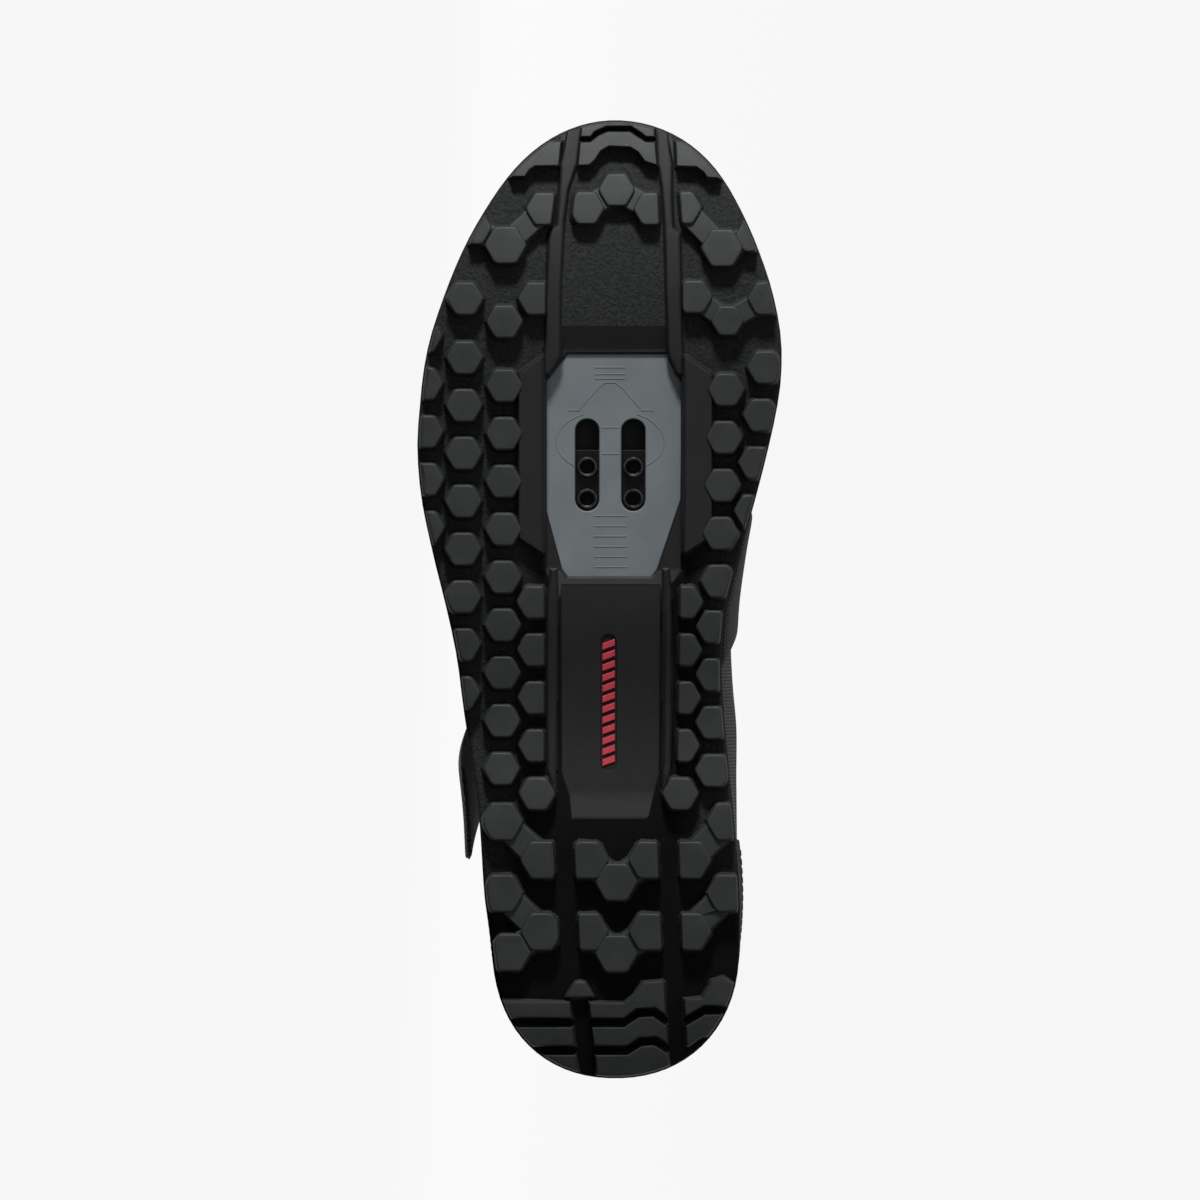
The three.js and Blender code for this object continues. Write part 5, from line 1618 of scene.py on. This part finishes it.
def eyelet_rims():
    """Rolled metal rims round the eyelets, on the eyestay."""
    around, section = 24, 8
    a = np.linspace(0, 2 * np.pi, around, endpoint=False)[:, None, None]
    b = np.linspace(0, 2 * np.pi, section, endpoint=False)[None, :, None]
    vertices, faces = [], []
    for x, y in eyelet_places():
        for side in (-1, 1):
            at, normal = over_form(x, side * y)
            aside, third = disc_axes(normal)
            out = np.cos(a) * aside + np.sin(a) * third
            tube = at + normal * (OVERLAY_THICKNESS + RIM_TUBE * (0.3 + np.sin(b)))
            start = len(vertices)
            vertices += list((tube + out * (EYELET_RADIUS + RIM_TUBE * (0.8 + np.cos(b)))).reshape(-1, 3))
            for i in range(around):
                for j in range(section):
                    k, n = (i + 1) % around, (j + 1) % section
                    quad = (i * section + j, i * section + n, k * section + n, k * section + j)
                    faces.append([start + corner for corner in quad])
    rims = new_object("rims", vertices, faces)
    outwards(rims)
    return rims


def stitch_row(path, out):
    """Closed threads along a path, with the direction out of the cloth at each of its points."""
    length = lengths_along(path)
    angle = np.linspace(0, 2 * np.pi, 6, endpoint=False)[:, None]
    parts = []
    for start in np.arange(STITCH_PITCH, length[-1] - STITCH_PITCH, STITCH_PITCH):
        at = start + STITCH_LENGTH * np.array((0, 0.15, 0.85, 1))
        middle = np.stack([np.interp(at, length, path[:, k]) for k in range(3)], -1)
        up = np.array([np.interp(at[1], length, out[:, k]) for k in range(3)])
        ahead = middle[-1] - middle[0]
        aside = unit(np.cross(ahead, up))
        up = unit(np.cross(aside, ahead))
        turn = np.cos(angle) * aside + np.sin(angle) * up
        radii = STITCH_RADIUS * np.array((0.4, 1, 1, 0.4))
        parts.append([point + radius * turn for point, radius in zip(middle, radii)])
    return parts


def attach(panel, extra, material):
    """Adds another object's closed shells to a panel's mesh, in a material of their own."""
    shell = bmesh.new()
    shell.from_mesh(panel.data)
    known = len(shell.faces)
    shell.from_mesh(extra.data)
    shell.faces.ensure_lookup_table()
    for face in shell.faces[known:]:
        face.material_index = len(panel.data.materials)
    shell.to_mesh(panel.data)
    shell.free()
    panel.data.materials.append(material)
    bpy.data.objects.remove(extra)
    soften(panel.data, 50)


def overlay_band(name, low, high, keep, thickness, material, seams, rows=26):
    """A panel on the form between two heights on each line, with rounded edges, and its stitches.

    seams names the edges that are sewn, each with the distance of the seam from it.
    """
    picked = np.flatnonzero(keep)
    if np.any(np.diff(picked) > 1):
        picked = np.roll(picked, -(np.flatnonzero(np.diff(picked) > 1)[0] + 1))
    spread = (1 - np.cos(np.linspace(0, np.pi, rows))) / 2
    base = 0.05
    tops, bases, cloth = [], [], []
    start = lines.points(low)
    end = lines.points(high)
    width = np.linalg.norm(end - start, axis=1)
    for p in spread:
        m = low + (high - low) * p
        share, t = lines.at(m)
        near = np.minimum(np.minimum(p, 1 - p) * width / thickness, 1)
        grow = base + thickness * np.sqrt(1 - (1 - near) ** 2)
        tops.append(form(share, lines.side, t, grow, CLEARANCE)[picked])
        bases.append(form(share, lines.side, t, base, CLEARANCE)[picked])
        cloth.append(cloth_place(share, lines.side, t)[picked])
    stitches = []
    for edge, inset in seams:
        aside = (high - low) * np.clip(inset / np.maximum(width, 0.1), 0, 0.5)
        share, t = lines.at(high - aside if edge == "high" else low + aside)
        wide = width[picked] > 2.5 * inset
        path = form(share, lines.side, t, base + thickness, CLEARANCE)[picked][wide]
        above = form(share, lines.side, t, base + thickness + 1, CLEARANCE)[picked][wide]
        stitches += stitch_row(path, above - path)
    band = grid_object(
        name, tops + bases[::-1][1:-1], cloth + cloth[::-1][1:-1], (material,), ring=False,
    )
    return band, solid(name + "_stitches", stitches)


def height_on_lines(is_below):
    """The place on each line where a condition on the point stops holding."""
    count = len(lines.start)
    return solve(np.zeros(count), np.ones(count), lambda m: is_below(lines.points(m)))


def above_lip():
    return height_on_lines(lambda p: p[:, 2] < lip_top(p[:, 0]) + CLEARANCE)


def table_line(table):
    at, value = np.array(table, float).T
    return lambda share: np.interp(share, at, value)


def make_toe_cap(material):
    rear = table_line(TOE_CAP_REAR)
    high = height_on_lines(lambda p: p[:, 0] > rear(p[:, 1] / BALL_WIDTH) * SHOE_LENGTH)
    low = above_lip()
    return overlay_band(
        "toe_cap_panel", low, high, high > low + 0.01, 1.2 * OVERLAY_THICKNESS, material,
        [("high", STITCH_INSET), ("high", 2 * STITCH_INSET)],
    )


def make_heel_counter(material):
    top = table_line(COUNTER_TOP)
    high = height_on_lines(lambda p: p[:, 2] < top(p[:, 0] / SHOE_LENGTH) * INSTEP_HEIGHT)
    low = above_lip()
    return overlay_band(
        "heel_counter_panel", low, high, high > low + 0.01, 1.4 * OVERLAY_THICKNESS, material,
        [("high", STITCH_INSET), ("high", 2 * STITCH_INSET)],
    )


def make_eyestay(material):
    lowest = table_line(EYESTAY_LOW)
    start = THROAT_FRONT - THROAT_FRONT_WIDTH / 2

    def outside(p):
        x, y, z = p.T
        beside_throat = np.abs(y) > throat_half(np.minimum(x, start - 1e-6)) + 1.01 * EYESTAY_WIDTH
        before_throat = np.hypot(x - start, y) > THROAT_FRONT_WIDTH / 2 + EYESTAY_WIDTH
        out = np.where(x < start, beside_throat, before_throat)
        return out | (z < lowest(x / SHOE_LENGTH) * INSTEP_HEIGHT) | (x < 0.3 * SHOE_LENGTH)

    low = height_on_lines(outside)
    return overlay_band(
        "eyestay_panel", low, np.ones_like(low), (low < 0.985) & (lines.end > 0.33),
        OVERLAY_THICKNESS, material, [("low", STITCH_INSET), ("high", STITCH_INSET)],
    )


def make_tongue(material, lining):
    """Padded tongue: a flap under the eyestay whose middle fills the throat."""
    along, across = 190, 49
    p = (1 - np.cos(np.linspace(0, np.pi, along))) / 2
    q = np.sin(np.linspace(-np.pi / 2, np.pi / 2, across))
    side = np.where(q < 0, -1.0, 1.0)[None]
    rear = TONGUE_REAR + 0.02 * np.abs(q) ** 4
    share = rear[None] + (TONGUE_FRONT - rear[None]) * p[:, None]
    lowest = table_line(TONGUE_LOW)

    def below_edge(t):
        point = form(share, side, t)
        return (point[..., 2] < lowest(point[..., 0] / SHOE_LENGTH) * INSTEP_HEIGHT) | (
            np.abs(point[..., 1]) > TONGUE_HALF_WIDTH * BALL_WIDTH
        )

    edge = 1 - solve(np.zeros_like(share), np.ones_like(share), below_edge)
    t = 1 - np.abs(q)[None] * edge
    point = form(share, side, t)
    x, y = point[..., 0], point[..., 1]
    inside = throat_half(np.minimum(x, THROAT_FRONT)) - 1 - np.abs(y)
    raised = smooth(0, 7, inside) * smooth(THROAT_BACK - 6, THROAT_BACK + 8, x)
    depth = lining_depth(share, t) + CLEARANCE
    round_edge = np.sqrt(1 - np.abs(q)[None] ** 8) * np.sqrt(1 - np.abs(2 * p[:, None] - 1) ** 24)
    seam = np.abs((FIRST_LACE - x) % LACE_STEP - LACE_STEP / 2)
    crown = (depth + 0.6 - QUILT_DEPTH * np.exp(-(seam / QUILT_WIDTH) ** 2)) * raised
    outer = form(share, side, t, -depth + crown - 0.5 * TONGUE_THICKNESS * (1 - round_edge))
    inner = form(share, side, t, -depth - TONGUE_THICKNESS + 0.5 * TONGUE_THICKNESS * (1 - round_edge))
    length = np.linalg.norm(np.diff(point, axis=0, prepend=point[:1]), axis=2).cumsum(0)
    width = np.linalg.norm(np.diff(point, axis=1, prepend=point[:, :1]), axis=2).cumsum(1)
    cloth = np.stack([length, width - width[:, across // 2, None]], -1)
    return closed_sheet("tongue_pad", outer, inner, cloth, (material, lining))


def closed_sheet(name, outer, inner, cloth, materials):
    """A closed body between two grids that meet along their four edges."""
    count, across = outer.shape[:2]
    vertices = np.concatenate([outer.reshape(-1, 3), inner.reshape(-1, 3)])
    faces, slots = [], []
    size = count * across
    for i in range(count - 1):
        for j in range(across - 1):
            a, b = i * across + j, i * across + j + 1
            c, d = b + across, a + across
            faces += [(a, b, c, d), (size + d, size + c, size + b, size + a)]
            slots += [0, len(materials) - 1]
    border = (
        [(0, j) for j in range(across)] + [(i, across - 1) for i in range(1, count)]
        + [(count - 1, j) for j in range(across - 2, -1, -1)] + [(i, 0) for i in range(count - 2, 0, -1)]
    )
    ring = [i * across + j for i, j in border]
    for a, b in zip(ring, ring[1:] + ring[:1]):
        faces.append((b, a, size + a, size + b))
        slots.append(0)
    obj = new_object(name, vertices, faces, materials, slots, 50)
    set_cloth(obj, np.stack([cloth, cloth]))
    outwards(obj)
    return obj


def along_length(x, y, z):
    return np.array([x * SHOE_LENGTH, y * BALL_WIDTH, z * INSTEP_HEIGHT])


STRAP_ANCHOR = along_length(0.53, 0.38, 0.3)
STRAP_RIDGE = along_length(0.475, 0, 0.92)
STRAP_END = along_length(0.28, -0.4, 0.4)
STRAP_CUT = [(0.2, 1.3), (0.228, 0.46), (0.232, 0.41), (0.285, 0.3), (0.305, 0.29), (0.6, 0.5)]


def strap_grow(t, side, base):
    low = np.where(side < 0, STRAP_TIP_LIFT, 0.0)
    return base + low + (STRAP_LIFT - low) * smooth(0.3, 0.6, t)


def make_strap(material):
    """A band over the instep whose free end stands proud on the outer side."""
    along, across = 150, 23
    direction = unit(STRAP_END - STRAP_ANCHOR)
    normal = unit(np.cross(direction, STRAP_RIDGE - STRAP_ANCHOR))
    offset = np.linspace(-STRAP_WIDTH / 2, STRAP_WIDTH / 2, across)
    cut = table_line(STRAP_CUT)

    def on_slab(side, t, grow):
        def before(share):
            gap = (form(share, side, t, grow) - STRAP_ANCHOR) @ normal
            return (gap < offset) if normal[0] > 0 else (gap > offset)
        return solve(np.full(t.shape, 0.1), np.full(t.shape, 0.85), before)

    ends = {}
    for side in (-1.0, 1.0):
        def short(t, side=side):
            grow = strap_grow(t, side, CLEARANCE)
            p = form(on_slab(side, t, grow), side, t, grow)
            if side > 0:
                return p[:, 2] < lip_top(p[:, 0]) + CLEARANCE
            return p[:, 2] < cut(p[:, 0] / SHOE_LENGTH) * INSTEP_HEIGHT
        ends[side] = solve(np.zeros(across), np.ones(across), short)
    outer, inner, cloth = [], [], []
    for tau in np.linspace(-1, 1, along):
        side = -1.0 if tau < 0 else 1.0
        t = 1 - abs(tau) * (1 - ends[side])
        bottom = strap_grow(t, side, CLEARANCE)
        share = on_slab(side, t, bottom)
        edge = (1 - np.abs(offset / (STRAP_WIDTH / 2)) ** 14) * (1 - abs(tau) ** 120)
        half = STRAP_THICKNESS / 2
        middle = bottom + half
        outer.append(form(share, side, t, middle + half * np.sqrt(np.clip(edge, 0.02, 1))))
        inner.append(form(share, side, t, middle - half * np.sqrt(np.clip(edge, 0.02, 1))))
        girth = cloth_place(share, side, t)[..., 1]
        cloth.append(np.stack([side * (120 - girth), offset], -1))
    return closed_sheet("strap_band", np.array(outer), np.array(inner), np.array(cloth), (material,))


def smooth_path(points, count):
    """Catmull-Rom curve through a few places."""
    points = np.array([2 * points[0] - points[1], *points, 2 * points[-1] - points[-2]])
    u = np.linspace(0, len(points) - 3, count)
    i = np.minimum(u.astype(int), len(points) - 4)
    f = (u - i)[:, None]
    a, b, c, d = (points[i + k] for k in range(4))
    bend, twist = 2 * a - 5 * b + 4 * c - d, 3 * b - a - 3 * c + d
    return 0.5 * (2 * b + (c - a) * f + bend * f ** 2 + twist * f ** 3)


def make_laces(material):
    laces = []
    height = OVERLAY_THICKNESS + 4 * CLEARANCE + LACE_THICKNESS / 2
    for row, (x, y) in enumerate(eyelet_places()):
        centres, faces_out = [], []

        def over(across, lift, out=None):
            at, normal = over_form(x, across)
            centres.append(at + normal * lift)
            faces_out.append(normal if out is None else np.array(out, float))

        rim = y - EYELET_INSET
        for side in (-1, 1):
            end = [(side * y, height - LACE_DIP, (0, side, 0)), (side * y, height - 0.7, (0, side, 0.7)),
                   (side * (y - 1.8), height, None)]
            if side < 0:
                for entry in end:
                    over(*entry)
                for share in (-1, -0.4, 0.4, 1):
                    over(share * rim, height)
            else:
                for entry in end[::-1]:
                    over(*entry)
        path = smooth_path(np.array(centres), 61)
        out = smooth_path(np.array(faces_out), 61)
        ahead = unit(np.gradient(path, axis=0))
        aside = unit(np.cross(ahead, out))
        face = np.cross(aside, ahead)
        angle = np.linspace(0, 2 * np.pi, 20, endpoint=False)
        wide = np.sign(np.cos(angle)) * np.abs(np.cos(angle)) ** 0.6 * LACE_WIDTH / 2
        thick = np.sign(np.sin(angle)) * np.abs(np.sin(angle)) ** 0.8 * LACE_THICKNESS / 2
        rings = path[:, None] + aside[:, None] * wide[:, None] + face[:, None] * thick[:, None]
        length = lengths_along(path)
        cloth = np.stack(np.broadcast_arrays(length[:, None], wide[None]), -1)
        lace = grid_object(f"lace_{row + 1}_cord", rings, cloth, (material,), closed=False, angle=60)
        cap_ends(lace, 61, 20)
        laces.append(lace)
    return laces


def cap_ends(obj, count, around):
    shell = bmesh.new()
    shell.from_mesh(obj.data)
    shell.verts.ensure_lookup_table()
    for start in (0, (count - 1) * around):
        shell.faces.new([shell.verts[start + k] for k in range(around)])
    bmesh.ops.recalc_face_normals(shell, faces=shell.faces)
    shell.to_mesh(obj.data)
    shell.free()


def make_midsole():
    """Foam body: hidden inside the rim, with a ribbed side and a lip round the upper."""
    def ring(inset, height):
        outline = sole_ring(inset)
        return at_height(outline, height(outline[:, 0]))

    def side(share):
        low = lambda x: ground(x) + rim_rise(x) + CLEARANCE
        return lambda x: low(x) + (lip_top(x) - low(x)) * share

    hidden = RIM_WALL + CLEARANCE
    inside = WELT_WIDTH - CLEARANCE
    profile = [
        (1.0, 0.0), (0.7, 0.04), (0.6, 0.2), (0.6, 0.4), (0.75, 0.43), (1.6, 0.46), (1.9, 0.5),
        (1.6, 0.54), (0.7, 0.57), (0.5, 0.6), (0.6, 0.85), (0.9, 0.94), (1.4, 0.99), (1.9, 1.0),
        (2.4, 0.985),
    ]
    rings = [ring(hidden + 1, lambda x: ground(x) + SOLE_BASE + CLEARANCE),
             ring(hidden, lambda x: ground(x) + SOLE_BASE + 1.3), ring(hidden, side(0.0))]
    rings += [ring(inset, side(share)) for inset, share in profile]
    rings += [ring(inside, side(0.96)), ring(inside, lambda x: feather_height(x) + 0.2),
              ring(inside + 1, lambda x: feather_height(x) - CLEARANCE)]
    body = solid("midsole_foam", [rings], strips=True)
    window = wound(band_outline(WINDOW))
    roof = SOLE_BASE + PLATE_THICKNESS + 3 * CLEARANCE + 3
    outline = widened(window, PLATE_FLANGE + CLEARANCE)
    combine(body, solid("cut", [[at_height(outline, 0), at_height(outline, roof)]]), "DIFFERENCE")
    return body


def make_insole():
    low = lambda x: feather_height(x) + 2 * CLEARANCE
    inset = WELT_WIDTH + UPPER_WALL + 2 * CLEARANCE

    def ring(more, rise):
        outline = sole_ring(inset + more)
        return at_height(outline, low(outline[:, 0]) + rise)

    top = INSOLE_THICKNESS
    rings = [ring(0.3, 0), ring(0, 0.4), ring(0.3, top - 1.4), ring(0.7, top - 0.5), ring(1.5, top)]
    return solid("insole_board", [rings], strips=True)


def dress_upper():
    fabric, overlay = woven_mesh(), coated_cloth()
    lining = knit("collar_lining", (34, 35, 37), 1.3)
    binding = knit("edge_binding", (28, 29, 30), 0.7)
    webbing = webbing_weave()
    lace_weave = knit("lace_weave", (30, 31, 32), 0.6)
    thread = grained("sewing_thread", 0.7, (58, 59, 61), (74, 75, 77), (0.35, 2.0), Specular_IOR_Level=0.4)
    foam = grained("foam_skin", 0.75, (24, 25, 26), (32, 33, 34), (15.0, 3.0), (0.5, 3.0), relief=0.06,
                   Specular_IOR_Level=0.35)
    upper = make_upper(fabric, lining, binding)
    eyestay, stitches = make_eyestay(overlay)
    for piece in (upper, eyestay):
        combine(piece, eyelet_drills(), "DIFFERENCE")
        soften(piece.data, 40)
    attach(eyestay, stitches, thread)
    attach(eyestay, eyelet_rims(), black_oxide("eyelet_metal", 0.35))
    finish_piece(upper, "upper")
    finish_piece(eyestay, "eyestay")
    for node, make in (("toe_cap", make_toe_cap), ("heel_counter", make_heel_counter)):
        panel, stitches = make(overlay)
        attach(panel, stitches, thread)
        finish_piece(panel, node)
    tongue = finish_piece(make_tongue(fabric, lining), "tongue")
    finish_piece(make_strap(webbing), "strap")
    for row, lace in enumerate(make_laces(lace_weave)):
        finish_piece(lace, f"lace_{row + 1}")
    finish_piece(make_midsole(), "midsole", materials=(foam,))
    finish_piece(make_insole(), "insole", materials=(knit("insole_cover", (40, 41, 43)),))


make_camera()
make_lights()
make_stage()
make_outsole()
dress_upper()
plate = make_cleat_plate()
soften(plate.data, 35)
finish_piece(plate, "cleat_plate", materials=(moulded_nylon(),))
nut_plate = make_nut_plate()
soften(nut_plate.data, 35)
finish_piece(nut_plate, "nut_plate", body="nut", materials=(black_oxide(), dark_steel()))
